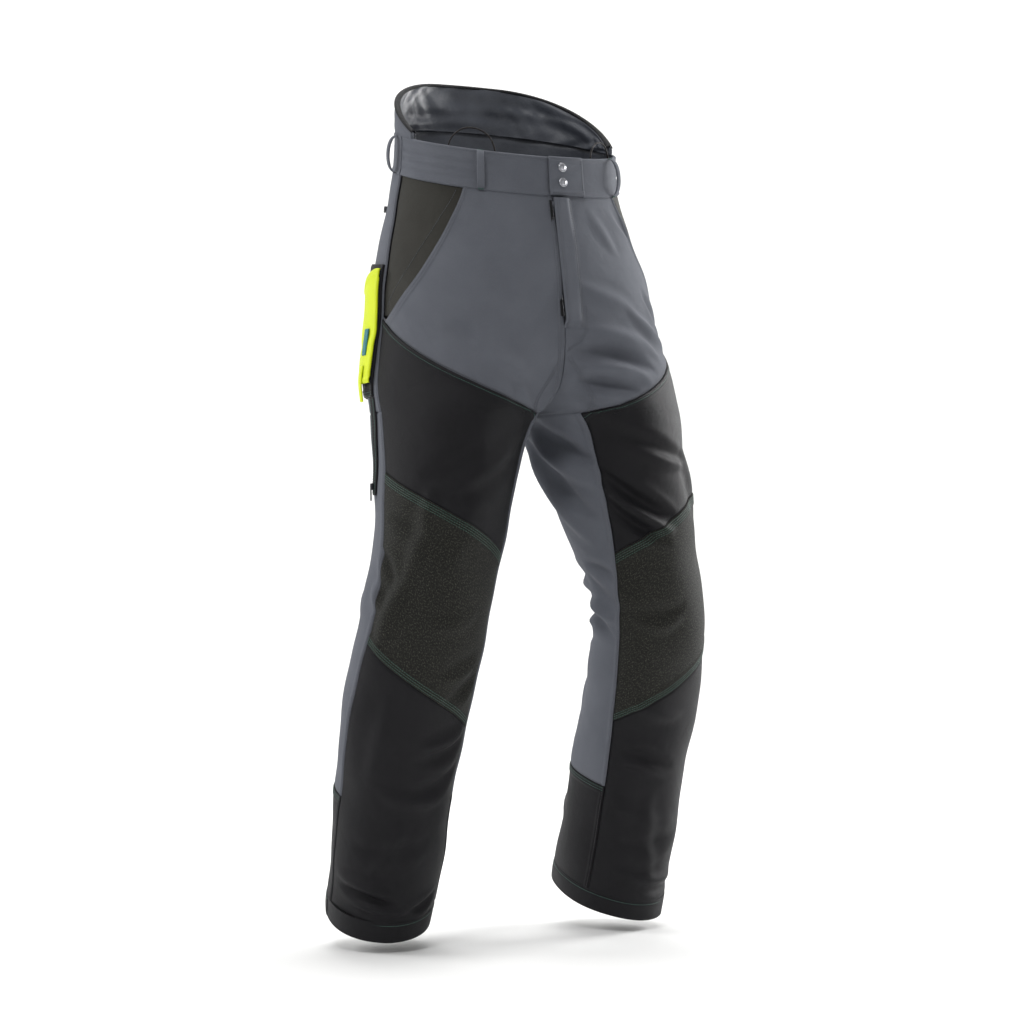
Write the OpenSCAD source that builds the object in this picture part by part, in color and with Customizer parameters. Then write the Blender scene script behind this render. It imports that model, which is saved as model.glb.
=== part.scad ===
// Chainsaw protective trousers: front cut pads, stretch back, raised back panel.
// Row frame: +Z up, the front faces -Y, the wearer's left is +X.
// The origin is the middle of the waist opening. Millimetres.

/* [Length] */
// Drop from the waist to the crotch
crotch_drop = 380; // [365:1:390]
// Drop from the waist to the knee hinge
knee_drop = 650; // [635:1:660]
// Drop from the waist to the bottom of the hem, along the leg's middle
hem_drop = 1064; // [1040:1:1080]
// Height of the waistband
band_h = 52; // [45:1:55]
// How far the back panel rises above the waistband
raise_h = 62; // [40:1:90]

/* [Waist and hip] */
// Half of the waist's width
waist_w = 163; // [155:1:170]
// Depth of the waist in front of the side seam
waist_front = 124; // [115:1:130]
// Depth of the waist behind the side seam
waist_back = 122; // [115:1:130]
// How far the waist tips forward, degrees
waist_tip = 14.5; // [10:0.5:16]
// Depth of the seat behind the side seam
seat_back = 160; // [150:1:168]

/* [Leg] */
// Half of the thigh's width
thigh_w = 97; // [92:1:102]
// Half of the knee's width
knee_w = 87; // [82:1:92]
// Half of the hem's width
hem_w = 72; // [66:1:78]
// Sideways distance from the middle to each knee
knee_out = 177; // [170:1:186]
// How far the legs turn outward, degrees
toe_out = 15; // [10:1:18]
// How far the shins lean back, degrees
shin_lean = 20; // [14:1:22]

/* [Cloth] */
// Thickness of the outer cloth
cloth_t = 1.6; // [1.2:0.1:1.8]
// Thickness of the cut pad
pad_t = 3.5; // [2.5:0.5:4.5]
// Gap between panels, where the seam lies
seam_gap = 1.2; // [1:0.1:2]

/* [Fastenings] */
// Diameter of a press stud's cap
stud_d = 15; // [12:0.5:16]
// Distance between the two press studs
stud_pitch = 20; // [18:0.5:22]
// Width of a belt loop
loop_w = 13; // [10:1:16]
// How far a belt loop stands off the waistband
loop_gap = 12; // [8:1:14]
// Width of a zip's chain
chain_w = 5; // [4:0.5:6]

/* [Hidden] */

RIGHT = -1;
LEFT = 1;
grey = "slategray";
black = [0.12, 0.12, 0.13];
knee_black = [0.16, 0.16, 0.15];
hi_vis = [0.85, 0.95, 0.05];

// One row per station down the garment: drop below the waist, sideways and backward place of the
// section's middle, half width, depth in front, depth behind, turn outward, lean of the section's
// plane, and the places of the side seam and the inner seam (0 at the side, -1 at the inner leg).
stations = [
    [0, 0, 0, waist_w, waist_front, waist_back, 0, waist_tip, 0, -0.75],
    [band_h, 2, -2, waist_w + 2, waist_front + 4, waist_back + 3, 0, waist_tip, 0, -0.75],
    [110, 12, -8, waist_w + 5, waist_front + 10, seat_back - 22, 0, 10, 0, -0.75],
    [170, 26, -16, waist_w + 5, waist_front + 13, seat_back - 10, 0, 6, 0, -0.75],
    [270, 54, -36, 158, 132, seat_back, 2, 2, 0, -0.75],
    [334, 84, -50, 140, 124, seat_back - 4, 4, 0, -0.02, -0.75],
    [crotch_drop, 114, -62, 113, 114, 146, 6, 0, -0.03, -0.755],
    [460, 134, -76, thigh_w, 100, 124, 11, 0, -0.06, -0.765],
    [550, 154, -88, 88, 86, 98, 14, 2, -0.10, -0.795],
    [knee_drop, knee_out, -92, knee_w, 72, 66, toe_out, 6, -0.14, -0.845],
    [740, knee_out + 10, -70, 88, 70, 76, toe_out, 12, -0.12, -0.84],
    [850, knee_out + 11, -34, 82, 74, 82, toe_out, shin_lean - 3, -0.08, -0.82],
    [960, knee_out + 9, -2, 78, 80, 84, toe_out, shin_lean - 1, -0.06, -0.82],
    [hem_drop, knee_out + 7, 30, hem_w, 86, 88, toe_out, shin_lean, -0.05, -0.83]];
last = len(stations) - 1;
gaiter_drop = 890;
hem_band_h = 24;
knee_back_top = 590;
knee_back_low = 712;

// ---- the garment's surface -------------------------------------------------------------------

function step_of(i) = stations[i + 1][0] - stations[i][0];
function chord(i) = (stations[i + 1] - stations[i]) / step_of(i);
// Slope at a station: each neighbouring chord weighted by the other's length.
function slope(i) =
    i == 0 ? chord(0) :
    i == last ? chord(last - 1) :
    (chord(i) * step_of(i - 1) + chord(i - 1) * step_of(i)) / (step_of(i - 1) + step_of(i));
function span_of(d, i = 0) = (i >= last - 1 || d < stations[i + 1][0]) ? i : span_of(d, i + 1);
// The section at drop d, by cubic curves through the stations.
function section(d) =
    let (i = span_of(d), h = step_of(i), t = (d - stations[i][0]) / h)
    (2 * t^3 - 3 * t^2 + 1) * stations[i] + (t^3 - 2 * t^2 + t) * h * slope(i)
    + (-2 * t^3 + 3 * t^2) * stations[i + 1] + (t^3 - t^2) * h * slope(i + 1);
function clamp1(x) = max(-1, min(1, x));
// The angle at which a section with depth r meets the middle plane, in front (-1) or behind (1).
function reach_angle(s, r, way) =
    let (a = s[3] * cos(s[6]), b = r * sin(s[6]))
    way * acos(clamp1(-s[1] / norm([a, b]))) - atan2(b, a);
function inner_turn(s) = atan2((s[4] + s[5]) / 2 * sin(s[6]), s[3] * cos(s[6]));
function turn_at(s, d, u) =
    d > crotch_drop
    ? (u < 0 ? u * (180 + inner_turn(s)) : u * (180 - inner_turn(s)))
    : (u < 0 ? -u * max(-180, reach_angle(s, s[4], -1)) : u * min(180, reach_angle(s, s[5], 1)));
// Local place in a section: across, and front to back.
function local(s, turn) = [s[3] * cos(turn), (sin(turn) < 0 ? s[4] : s[5]) * sin(turn)];
// The point of the left half at drop d and round place u: -1 middle front or inner leg,
// 0 the side, 1 middle back or inner leg.
function at(d, u) =
    let (s = section(d), p = local(s, turn_at(s, d, u)))
    [s[1] + p[0] * cos(s[6]) - p[1] * sin(s[6]),
     s[2] + (p[0] * sin(s[6]) + p[1] * cos(s[6])) * cos(s[7]),
     -d + p[1] * sin(s[7])];
function unit(v) = v / max(norm(v), 1e-9);
fine_d = 2;
fine_u = 0.01;
// The outward normal, from small steps along both ways.
function normal_at(d, u) =
    let (b = min(d <= crotch_drop ? 1 : 1.2, u + fine_u), a = b - 2 * fine_u)
    unit(cross(at(d, b) - at(d, a), at(d - fine_d, u) - at(d + fine_d, u)));
function lifted(d, u, out) = at(d, u) + out * normal_at(d, u);
function side_seam(d) = section(d)[8];
function inner_seam(d) = section(d)[9];
function mixed(a, b, t) = a + (b - a) * t;
function ease(t) = let (c = max(0, min(1, t))) c * c * (3 - 2 * c);

// The seams across the front of a leg, as drops at the side and at the inner leg.
THIGH_SEAM = [252, crotch_drop + 1];
KNEE_TOP_SEAM = [461, 570];
KNEE_LOW_SEAM = [683, 798];
HEM_SEAM = [hem_drop - hem_band_h, hem_drop - hem_band_h];
// A seam runs straight from the side seam to the inner seam.
function seam_drop(seam, u) =
    let (a = side_seam(seam[0]), b = inner_seam(seam[1]))
    mixed(seam[0], seam[1], max(0, min(1, (a - u) / (a - b))));

// ---- sheets ----------------------------------------------------------------------------------

// A closed sheet between an outer and an inner grid of points, each a list of rows.
function flat_list(rows) = [for (r = rows) for (p = r) p];
module shell(outer, inner, side) {
    rows = len(outer);
    cols = len(outer[0]);
    n = rows * cols;
    function o(i, j) = i * cols + j;
    quads = concat(
        [for (i = [0:rows - 2]) for (j = [0:cols - 2]) [o(i, j), o(i + 1, j), o(i + 1, j + 1), o(i, j + 1)]],
        [for (i = [0:rows - 2]) for (j = [0:cols - 2])
            [n + o(i, j), n + o(i, j + 1), n + o(i + 1, j + 1), n + o(i + 1, j)]],
        [for (j = [0:cols - 2]) [o(0, j), o(0, j + 1), n + o(0, j + 1), n + o(0, j)]],
        [for (j = [0:cols - 2])
            [o(rows - 1, j + 1), o(rows - 1, j), n + o(rows - 1, j), n + o(rows - 1, j + 1)]],
        [for (i = [0:rows - 2]) [o(i + 1, 0), o(i, 0), n + o(i, 0), n + o(i + 1, 0)]],
        [for (i = [0:rows - 2])
            [o(i, cols - 1), o(i + 1, cols - 1), n + o(i + 1, cols - 1), n + o(i, cols - 1)]]);
    points = [for (p = concat(flat_list(outer), flat_list(inner))) [side * p[0], p[1], p[2]]];
    // The mirrored half needs its faces turned round.
    triangles = [for (q = quads) each [[q[0], q[1], q[2]], [q[0], q[2], q[3]]]];
    polyhedron(points, [for (f = triangles) side > 0 ? f : [f[0], f[2], f[1]]]);
}

// A sheet over a grid of [drop, round] places, its outer face lifted by out, and t thick.
module sheet(side, grid, out = 0, t = cloth_t)
    shell([for (r = grid) [for (g = r) lifted(g[0], g[1], out)]],
          [for (r = grid) [for (g = r) lifted(g[0], g[1], out - t)]], side);

// Places in even rows and columns between two drops and two round places.
function patch_grid(d0, d1, u0, u1, rows, cols) =
    [for (i = [0:rows]) [for (j = [0:cols]) [mixed(d0, d1, i / rows), mixed(u0, u1, j / cols)]]];

// ---- waist -----------------------------------------------------------------------------------

half_gap = seam_gap / 2;
band_out = 0.5;
band_t = 3;
// The front ends of the band: the right one runs on under the tab.
right_end = -1.07;
left_end = -0.80;
module waistband_front(side, end, cols)
    color(grey) sheet(side, patch_grid(0, band_h - half_gap, end, -0.02, 2, cols), band_out, band_t);
module waistband_front_right() waistband_front(RIGHT, right_end, 10);
module waistband_front_left() waistband_front(LEFT, left_end + 0.01, 7);

// The back runs round both halves: w goes from 0 at the left side to 2 at the right side.
function round_back(d, w, out) =
    let (p = lifted(d, w <= 1 ? w : 2 - w, out)) [w <= 1 ? p[0] : -p[0], p[1], p[2]];
module around(w0, w1, cols, rows, place, t)
    shell([for (k = rows) [for (j = [0:cols]) place(mixed(w0, w1, j / cols), k, 0)]],
          [for (k = rows) [for (j = [0:cols]) place(mixed(w0, w1, j / cols), k, -t)]], LEFT);
module waistband_back() color(grey)
    around(0.02, 1.98, 16, [0, band_h / 2, band_h - half_gap],
        function(w, d, out) round_back(d, w, band_out + out), band_t);

// The panel above the band, as high as raise_h behind and low at the sides.
raise_start = -0.12;
back_t = 4;
function raise_at(w) = raise_h * sin(90 * min(1, min(w, 2 - w) + 0.2));
// The point at round place w, a fraction k of the way up.
function raised(w, k, out) = round_back(0, w, out) + [0, 0, mixed(0.8, raise_at(w), k)];
raise_cols = 20;
module raised_back_panel() color(grey)
    around(raise_start, 2 - raise_start, raise_cols, [1, 0.5, 0],
        function(w, k, out) raised(w, k, out), back_t);
lining_in = back_t + 0.4;
module raised_back_lining() color("gray")
    around(raise_start, 2 - raise_start, raise_cols, [1, 0.5, 0],
        function(w, k, out) raised(w, k, out - lining_in), 1);
// The binding caps the panel and its lining.
binding_h = 3.6;
module raised_back_binding() color(black)
    around(raise_start, 2 - raise_start, raise_cols, [binding_h + 0.4, 0.4],
        function(w, up, out) raised(w, 1, out + 0.4) + [0, 0, up], lining_in + 1.8);

// ---- belt loops and cords --------------------------------------------------------------------

loop_t = 2.2;
loop_places = [[RIGHT, -0.60], [LEFT, -0.50], [RIGHT, 0.08], [LEFT, 0.12], [RIGHT, 0.62], [LEFT, 0.62]];
half_loop_u = loop_w / 2 / 330;
// A loop bows out from a foot at the band's top to a foot at its lower edge.
loop_foot = 1;
loop_rows = 8;
function loop_point(u, a, out) =
    lifted(mixed(1, band_h + 2, (1 - cos(a)) / 2), u, loop_foot + max(0, loop_gap * sin(a) + out));
module belt_loop(side, u)
    shell([for (i = [0:loop_rows]) [for (e = [-1, 1])
              loop_point(u + e * half_loop_u, 180 * i / loop_rows,
                  loop_t * (1 - pow(cos(180 * i / loop_rows), 8)))]],
          [for (i = [0:loop_rows]) [for (e = [-1, 1])
              loop_point(u + e * half_loop_u, 14 + 152 * i / loop_rows, -loop_t * 0.4)]], side);
module belt_loops() color(grey)
    for (place = loop_places) belt_loop(place[0], place[1]);

// Elastic cords that stand in a small arch inside the front of the band.
cord_d = 2.4;
cord_route_right = [[-128, -67, -30], [-128, -67, -18], [-124, -71, -6], [-115, -79, 3], [-104, -87, 5],
    [-92, -94, 1], [-82, -100, -9], [-76, -102, -24], [-75.5, -102, -36]];
cord_route_left = [[76.5, -101, -38], [76.5, -101, -26], [80, -99, -14], [89, -94, -5], [100, -88, -2],
    [111, -81, -4], [119, -75, -11], [122, -73, -20], [122, -73, -31]];
cord_sides = 8;
cord_steps = 3;
// A smooth curve through the route's points, each piece from its two neighbours' slopes.
function route_at(route, s) =
    let (n = len(route) - 1, i = min(n - 1, floor(s)), t = s - i,
         p0 = route[max(0, i - 1)], p1 = route[i], p2 = route[i + 1], p3 = route[min(n, i + 2)])
    p1 + 0.5 * t * ((p2 - p0) + t * (2 * p0 - 5 * p1 + 4 * p2 - p3 + t * (3 * p1 - p0 - 3 * p2 + p3)));
module cord(route) {
    n = (len(route) - 1) * cord_steps;
    path = [for (i = [0:n]) route_at(route, i / cord_steps)];
    flat_way = unit(cross(route[len(route) - 1] - route[0], [0, 0, 1]));
    rings = [for (i = [0:n])
        let (along = unit(path[min(n, i + 1)] - path[max(0, i - 1)]), b = unit(cross(along, flat_way)))
        [for (j = [0:cord_sides - 1]) let (a = 360 * j / cord_sides)
            path[i] + cord_d / 2 * (cos(a) * flat_way + sin(a) * b)]];
    m = cord_sides;
    polyhedron(flat_list(rings), concat(
        [[for (j = [0:m - 1]) j]], [[for (j = [0:m - 1]) n * m + m - 1 - j]],
        [for (i = [0:n - 1]) for (j = [0:m - 1]) let (k = (j + 1) % m)
            [i * m + j, (i + 1) * m + j, (i + 1) * m + k, i * m + k]]));
}
module waist_cord_right() color(black) cord(cord_route_right);
module waist_cord_left() color(black) cord(cord_route_left);

// Turns +Z to point along v.
module aim(v) rotate([0, acos(clamp1(v[2] / norm(v))), atan2(v[1], v[0])]) children();
module on_surface(side, d, u, out) {
    p = lifted(d, u, out);
    n = normal_at(d, u);
    translate([side * p[0], p[1], p[2]]) aim([side * n[0], n[1], n[2]]) children();
}

// ---- waist tab and press studs ---------------------------------------------------------------

tab_out = 6.2;
tab_t = 2.6;
tab_end = -1.02;
module waist_tab() color(grey)
    sheet(LEFT, patch_grid(0, band_h + 2, tab_end, left_end, 2, 5), tab_out, tab_t);
stud_drop = 15;
stud_u = -0.945;
module at_studs(out) for (i = [0, 1]) on_surface(LEFT, stud_drop + i * stud_pitch, stud_u, out) children();
cap_gap = 0.45;
module stud_caps() color("silver") at_studs(tab_out + cap_gap + 0.25) {
    cylinder(d = stud_d, h = 1.2, $fn = 48);
    translate([0, 0, 1.2]) cylinder(d1 = stud_d - 0.8, d2 = stud_d - 5, h = 1.4, $fn = 48);
}
// The socket is the tab's inner half of the stud, and the post is the band's.
socket_h = 1.2;
socket_bore = 6;
module stud_sockets() color("silver") at_studs(tab_out - tab_t - cap_gap - socket_h) difference() {
    cylinder(d = stud_d - 2, h = socket_h, $fn = 48);
    translate([0, 0, -1]) cylinder(d = socket_bore, h = socket_h + 2, $fn = 40);
}
post_base_h = 0.7;
module stud_posts() color("silver") at_studs(band_out + cap_gap) {
    cylinder(d = stud_d - 2, h = post_base_h, $fn = 48);
    translate([0, 0, post_base_h]) cylinder(d = socket_bore - 1.2, h = 1, $fn = 32);
}

// ---- fly -------------------------------------------------------------------------------------

fly_top = band_h + 4;
fly_low = 262;
u_per_mm = 1 / 300;
// A point of the front at x beside the middle, at drop d, moved out by out.
function fly_point(x, d, out) =
    let (p = at(d, -1 + abs(x) * u_per_mm), m = at(d, -1)) [x, p[1] - out, m[2]];
// The zip runs straight between these points, a little in front of the cloth.
zip_out = 3.2;
zip_top = fly_point(0, fly_top + 4, zip_out);
zip_low = fly_point(0, fly_low - 18, zip_out);
zip_len = norm(zip_low - zip_top);
zip_tilt = atan2(zip_top[1] - zip_low[1], zip_top[2] - zip_low[2]);
function fly_line(z) = mixed(zip_top[1], zip_low[1], (zip_top[2] - z) / (zip_top[2] - zip_low[2]));

// The placket covers the zip; its far edge comes down to the left front.
placket_cover = 4.9;
placket_x = [-8, -2, 6, 14, 22, 30];
fly_rows = 6;
function placket_point(x, d, back) =
    let (p = fly_point(x, d, 1 + cloth_t), f = ease((x - 13) / 17))
    [x, mixed(min(fly_line(p[2]) - placket_cover, p[1]), p[1], f) + back, p[2]];
function fly_grid(xs, point) =
    [for (i = [0:fly_rows]) [for (x = xs) point(x, mixed(fly_top, fly_low, i / fly_rows))]];
module fly_placket() color(grey) shell(
    fly_grid(placket_x, function(x, d) placket_point(x, d, 0)),
    fly_grid(placket_x, function(x, d) placket_point(x, d, cloth_t)), LEFT);
underlay_x = [-26, -14, 0, 10, 20];
underlay_in = -4;
module fly_underlay() color(grey) shell(
    fly_grid(underlay_x, function(x, d) fly_point(x, d, underlay_in)),
    fly_grid(underlay_x, function(x, d) fly_point(x, d, underlay_in - cloth_t)), LEFT);

// Origin at the zip's top, -Z down the chain, -Y out of the cloth.
module along_fly() translate(zip_top) rotate([-zip_tilt, 0, 0]) children();
chain_gap = 1.6;
chain_t = 1.2;
tape_t = 0.5;
fly_tape_w = 4;
// Two rows of teeth, each on its own tape.
module zip_chain(length, tape_w) for (s = [-1, 1]) {
    translate([s > 0 ? chain_gap / 2 : -chain_gap / 2 - chain_w / 2, -chain_t / 2, -length])
        cube([chain_w / 2, chain_t, length]);
    translate([s > 0 ? (chain_gap + chain_w) / 2 : -(chain_gap + chain_w) / 2 - tape_w, -tape_t / 2, -length])
        cube([tape_w, tape_t, length]);
}
module fly_zip_chain() color("dimgray") along_fly() zip_chain(zip_len, fly_tape_w);
slider_h = 9;
slider_w = chain_w + 4;
slider_t = 3.6;
slot_t = 1.9;
// Two plates joined by a middle wedge that parts the rows of teeth.
module zip_slider() {
    difference() {
        translate([-slider_w / 2, -slider_t / 2, -slider_h]) cube([slider_w, slider_t, slider_h]);
        translate([-slider_w, -slot_t / 2, -slider_h - 1]) cube([2 * slider_w, slot_t, slider_h + 2]);
    }
    translate([-chain_gap / 4, -slot_t / 2 - 0.2, -slider_h]) cube([chain_gap / 2, slot_t + 0.4, slider_h]);
}
slider_start = 1;
module fly_zip_slider() color("silver") along_fly() translate([0, 0, -slider_start]) zip_slider();
pull_t = 0.9;
pull_gap = 0.3;
pull_w = 6;
// A flat bar that hangs from its top end, with a hole near the bottom.
module pull_bar(length) difference() {
    union() {
        translate([-pull_w / 2, -pull_t, -length]) cube([pull_w, pull_t, length]);
        rotate([90, 0, 0]) cylinder(d = pull_w, h = pull_t, $fn = 32);
        translate([0, 0, -length]) rotate([90, 0, 0]) cylinder(d = pull_w, h = pull_t, $fn = 32);
    }
    translate([0, 1, -length]) rotate([90, 0, 0]) cylinder(d = 2.6, h = pull_t + 2, $fn = 24);
}
module fly_zip_pull() color("silver") along_fly()
    translate([0, -slider_t / 2 - pull_gap, -slider_start - pull_w / 2]) pull_bar(16);

// ---- front, seat and hip pockets -------------------------------------------------------------

// The mouth of the hip pocket slants from the band down to the side seam.
mouth_top_u = -0.50;
mouth_low_drop = 250;
mouth_low_u = -0.03;
function mouth_u(d) = d >= mouth_low_drop ? side_seam(d)
    : mixed(mouth_top_u, mouth_low_u, pow((d - band_h) / (mouth_low_drop - band_h), 1.15));
edge_u = seam_gap / 330;
middle_u = 0.998;
// Beside the zip the front panels stop at its tapes.
zip_side_u = 0.973;
module front_panel(side) sheet(side, [for (i = [0:9]) [for (j = [0:8])
    let (k = i / 9, top = band_h + half_gap,
         u0 = mixed(top, THIGH_SEAM[1], k) < fly_low + 20 ? zip_side_u : middle_u,
         u = mixed(-u0, mouth_u(mixed(top, THIGH_SEAM[0], k)) - edge_u, j / 8))
    [mixed(top, seam_drop(THIGH_SEAM, u) - half_gap, k), u]]]);
module front_panel_right() color(grey) front_panel(RIGHT);
module front_panel_left() color(grey) front_panel(LEFT);

module seat_panel(side) sheet(side, [for (i = [0:8]) [for (j = [0:9])
    let (d = mixed(band_h + half_gap, crotch_drop, i / 8))
    [d, mixed(side_seam(d) + edge_u, middle_u, j / 9)]]]);
module seat_panel_right() color(grey) seat_panel(RIGHT);
module seat_panel_left() color(grey) seat_panel(LEFT);

// The facing lies behind the front panel's mouth and shows beside it.
facing_in = -cloth_t - 1.4;
module hip_pocket_facing(side) sheet(side, [for (i = [0:8]) [for (j = [0:8])
    let (d = mixed(band_h + half_gap, mouth_low_drop, i / 8), u0 = min(-0.14, mouth_u(d) - 0.10))
    [d, mixed(u0, side_seam(d) - edge_u, j / 8)]]], facing_in, cloth_t);
module hip_pocket_facing_right() color(black) hip_pocket_facing(RIGHT);
module hip_pocket_facing_left() color(black) hip_pocket_facing(LEFT);
bag_in = -9;
bag_t = 1.2;
module hip_pocket_bag(side) sheet(side, patch_grid(band_h + 6, 315, -0.64, -0.10, 8, 8), bag_in, bag_t);
module hip_pocket_bag_right() color(black) hip_pocket_bag(RIGHT);
module hip_pocket_bag_left() color(black) hip_pocket_bag(LEFT);

// ---- leg panels ------------------------------------------------------------------------------

leg_cols = 12;
// Rows from one seam to the next, each given by its drops at the inner seam and at the side seam.
function rows_between(top, low, n) = [for (i = [0:n])
    [mixed(top[1] + half_gap, low[1] - half_gap, i / n), mixed(top[0] + half_gap, low[0] - half_gap, i / n)]];
function front_grid(rows, inset = 0) =
    [for (row = rows) [for (j = [0:leg_cols]) [mixed(row[0], row[1], j / leg_cols),
        mixed(inner_seam(row[0]) + edge_u + inset, side_seam(row[1]) - edge_u - inset, j / leg_cols)]]];
thigh_rows = rows_between(THIGH_SEAM, KNEE_TOP_SEAM, 6);
knee_rows = rows_between(KNEE_TOP_SEAM, KNEE_LOW_SEAM, 6);
shin_rows = rows_between(KNEE_LOW_SEAM, HEM_SEAM, 6);

module thigh_panel(side) color(black) sheet(side, front_grid(thigh_rows));
module thigh_panel_right() thigh_panel(RIGHT);
module thigh_panel_left() thigh_panel(LEFT);
module knee_patch(side) color(knee_black) sheet(side, front_grid(knee_rows));
module knee_patch_right() knee_patch(RIGHT);
module knee_patch_left() knee_patch(LEFT);
module shin_panel(side) color(black) sheet(side, front_grid(shin_rows));
module shin_panel_right() shin_panel(RIGHT);
module shin_panel_left() shin_panel(LEFT);

// The cut pad hangs behind the front panels, from the thigh seam to above the hem.
pad_in = -cloth_t - 1.6;
pad_inset = 0.03;
pad_rows = concat(thigh_rows, knee_rows, [for (i = [0:4]) shin_rows[i]]);
module cut_pad(side) color("wheat") sheet(side, front_grid(pad_rows, pad_inset), pad_in, pad_t);
module cut_pad_right() cut_pad(RIGHT);
module cut_pad_left() cut_pad(LEFT);

back_cols = 12;
// Past the inner leg the round place goes on from 1: here it meets the inner seam in front.
function wrap_end(d) = let (i = inner_turn(section(d))) (360 + inner_seam(d) * (180 + i)) / (180 - i);
module back_panel(side, top, low, rows) sheet(side, [for (i = [0:rows]) [for (j = [0:back_cols])
    let (d = mixed(top + half_gap, low - half_gap, i / rows))
    [d, mixed(side_seam(d) + edge_u, wrap_end(d) - edge_u, j / back_cols)]]]);
module back_thigh_panel(side) color(grey) back_panel(side, crotch_drop + half_gap, knee_back_top, 5);
module back_thigh_panel_right() back_thigh_panel(RIGHT);
module back_thigh_panel_left() back_thigh_panel(LEFT);
module back_knee_panel(side) color(grey) back_panel(side, knee_back_top, knee_back_low, 4);
module back_knee_panel_right() back_knee_panel(RIGHT);
module back_knee_panel_left() back_knee_panel(LEFT);
module back_calf_panel(side) color(grey) back_panel(side, knee_back_low, gaiter_drop, 4);
module back_calf_panel_right() back_calf_panel(RIGHT);
module back_calf_panel_left() back_calf_panel(LEFT);
module gaiter_panel(side) color(black) back_panel(side, gaiter_drop, hem_drop - hem_band_h, 3);
module gaiter_panel_right() gaiter_panel(RIGHT);
module gaiter_panel_left() gaiter_panel(LEFT);

// The hem is one closed ring, turned up and sewn.
hem_cols = 24;
hem_out = 0.4;
hem_t = 2.8;
function hem_point(d, j, out, side) =
    let (i = inner_turn(section(d)), turn = 360 * j / hem_cols,
         u = turn <= 180 - i ? turn / (180 - i) : (turn - 360) / (180 + i), p = lifted(d, u, out))
    [side * p[0], p[1], p[2]];
module hem_band(side) color(black) {
    n = hem_cols;
    points = [for (out = [hem_out, hem_out - hem_t]) for (d = [hem_drop - hem_band_h + half_gap, hem_drop])
        for (j = [0:n - 1]) hem_point(d, j, out, side)];
    faces = [for (j = [0:n - 1]) let (k = (j + 1) % n) each [
        [j, n + j, n + k, k], [2 * n + j, 2 * n + k, 3 * n + k, 3 * n + j],
        [j, k, 2 * n + k, 2 * n + j], [n + k, n + j, 3 * n + j, 3 * n + k]]];
    triangles = [for (q = faces) each [[q[0], q[1], q[2]], [q[0], q[2], q[3]]]];
    polyhedron(points, [for (f = triangles) side > 0 ? f : [f[0], f[2], f[1]]]);
}
module hem_band_right() hem_band(RIGHT);
module hem_band_left() hem_band(LEFT);

// ---- pockets on the thighs -------------------------------------------------------------------

pocket_u0 = 0.01;
pocket_u1 = 0.27;
pocket_out = 7;
pocket_t = 5;
cargo_top = 178;
cargo_low = 360;
module cargo_pocket_right() color(black)
    sheet(RIGHT, patch_grid(cargo_top, cargo_low, pocket_u0, pocket_u1, 5, 4), pocket_out, pocket_t);
flap_out = 10.5;
flap_t = 2.4;
flap_top = 184;
flap_low = 342;
module cargo_flap_right() color(hi_vis)
    sheet(RIGHT, patch_grid(flap_top, flap_low, pocket_u0 - 0.005, pocket_u1 - 0.01, 5, 4), flap_out, flap_t);
module flap_pull_tab() color(hi_vis)
    sheet(RIGHT, patch_grid(flap_low - 24, flap_low + 24, pocket_u0 + 0.06, pocket_u0 + 0.10, 2, 1),
        flap_out + 2.6, 2);
module flap_label() color("steelblue")
    sheet(RIGHT, patch_grid(flap_low - 74, flap_low - 38, pocket_u0 + 0.05, pocket_u0 + 0.10, 1, 1),
        flap_out + 1.4, 1);
module side_pocket_left() color(black)
    sheet(LEFT, patch_grid(243, 360, pocket_u0, pocket_u1, 5, 4), pocket_out, pocket_t);

// ---- vents -----------------------------------------------------------------------------------

vent_u = 0.03;
vent_top = 366;
vent_low = 486;
vent_out = 5;
function vent_point(side, d) = let (p = lifted(d, vent_u, vent_out)) [side * p[0], p[1], p[2]];
vent_len = norm(vent_point(LEFT, vent_top) - vent_point(LEFT, vent_low));
function vent_up(side) = unit(vent_point(side, vent_top) - vent_point(side, vent_low));
function vent_in(side) =
    let (n = normal_at((vent_top + vent_low) / 2, vent_u), m = [side * n[0], n[1], n[2]], z = vent_up(side))
    -unit(m - (m * z) * z);
// Places children with -Z down the vent and -Y out of the cloth, from its top.
module frame_at(p, y, z) {
    x = cross(y, z);
    multmatrix([[x[0], y[0], z[0], p[0]], [x[1], y[1], z[1], p[1]], [x[2], y[2], z[2], p[2]], [0, 0, 0, 1]])
        children();
}
module along_vent(side) frame_at(vent_point(side, vent_top), vent_in(side), vent_up(side)) children();
vent_stop = -vent_len + slider_h + 1;
module vent_zip(side) color(black) along_vent(side) zip_chain(vent_len, 7);
module vent_zip_right() vent_zip(RIGHT);
module vent_zip_left() vent_zip(LEFT);
module vent_slider(side) color("dimgray") along_vent(side) translate([0, 0, vent_stop]) zip_slider();
module vent_slider_right() vent_slider(RIGHT);
module vent_slider_left() vent_slider(LEFT);
module vent_pull(side) color("dimgray") along_vent(side)
    translate([0, -slider_t / 2 - pull_gap, vent_stop - pull_w / 2]) pull_bar(18);
module vent_pull_right() vent_pull(RIGHT);
module vent_pull_left() vent_pull(LEFT);

// ---- rear pocket -----------------------------------------------------------------------------

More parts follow.
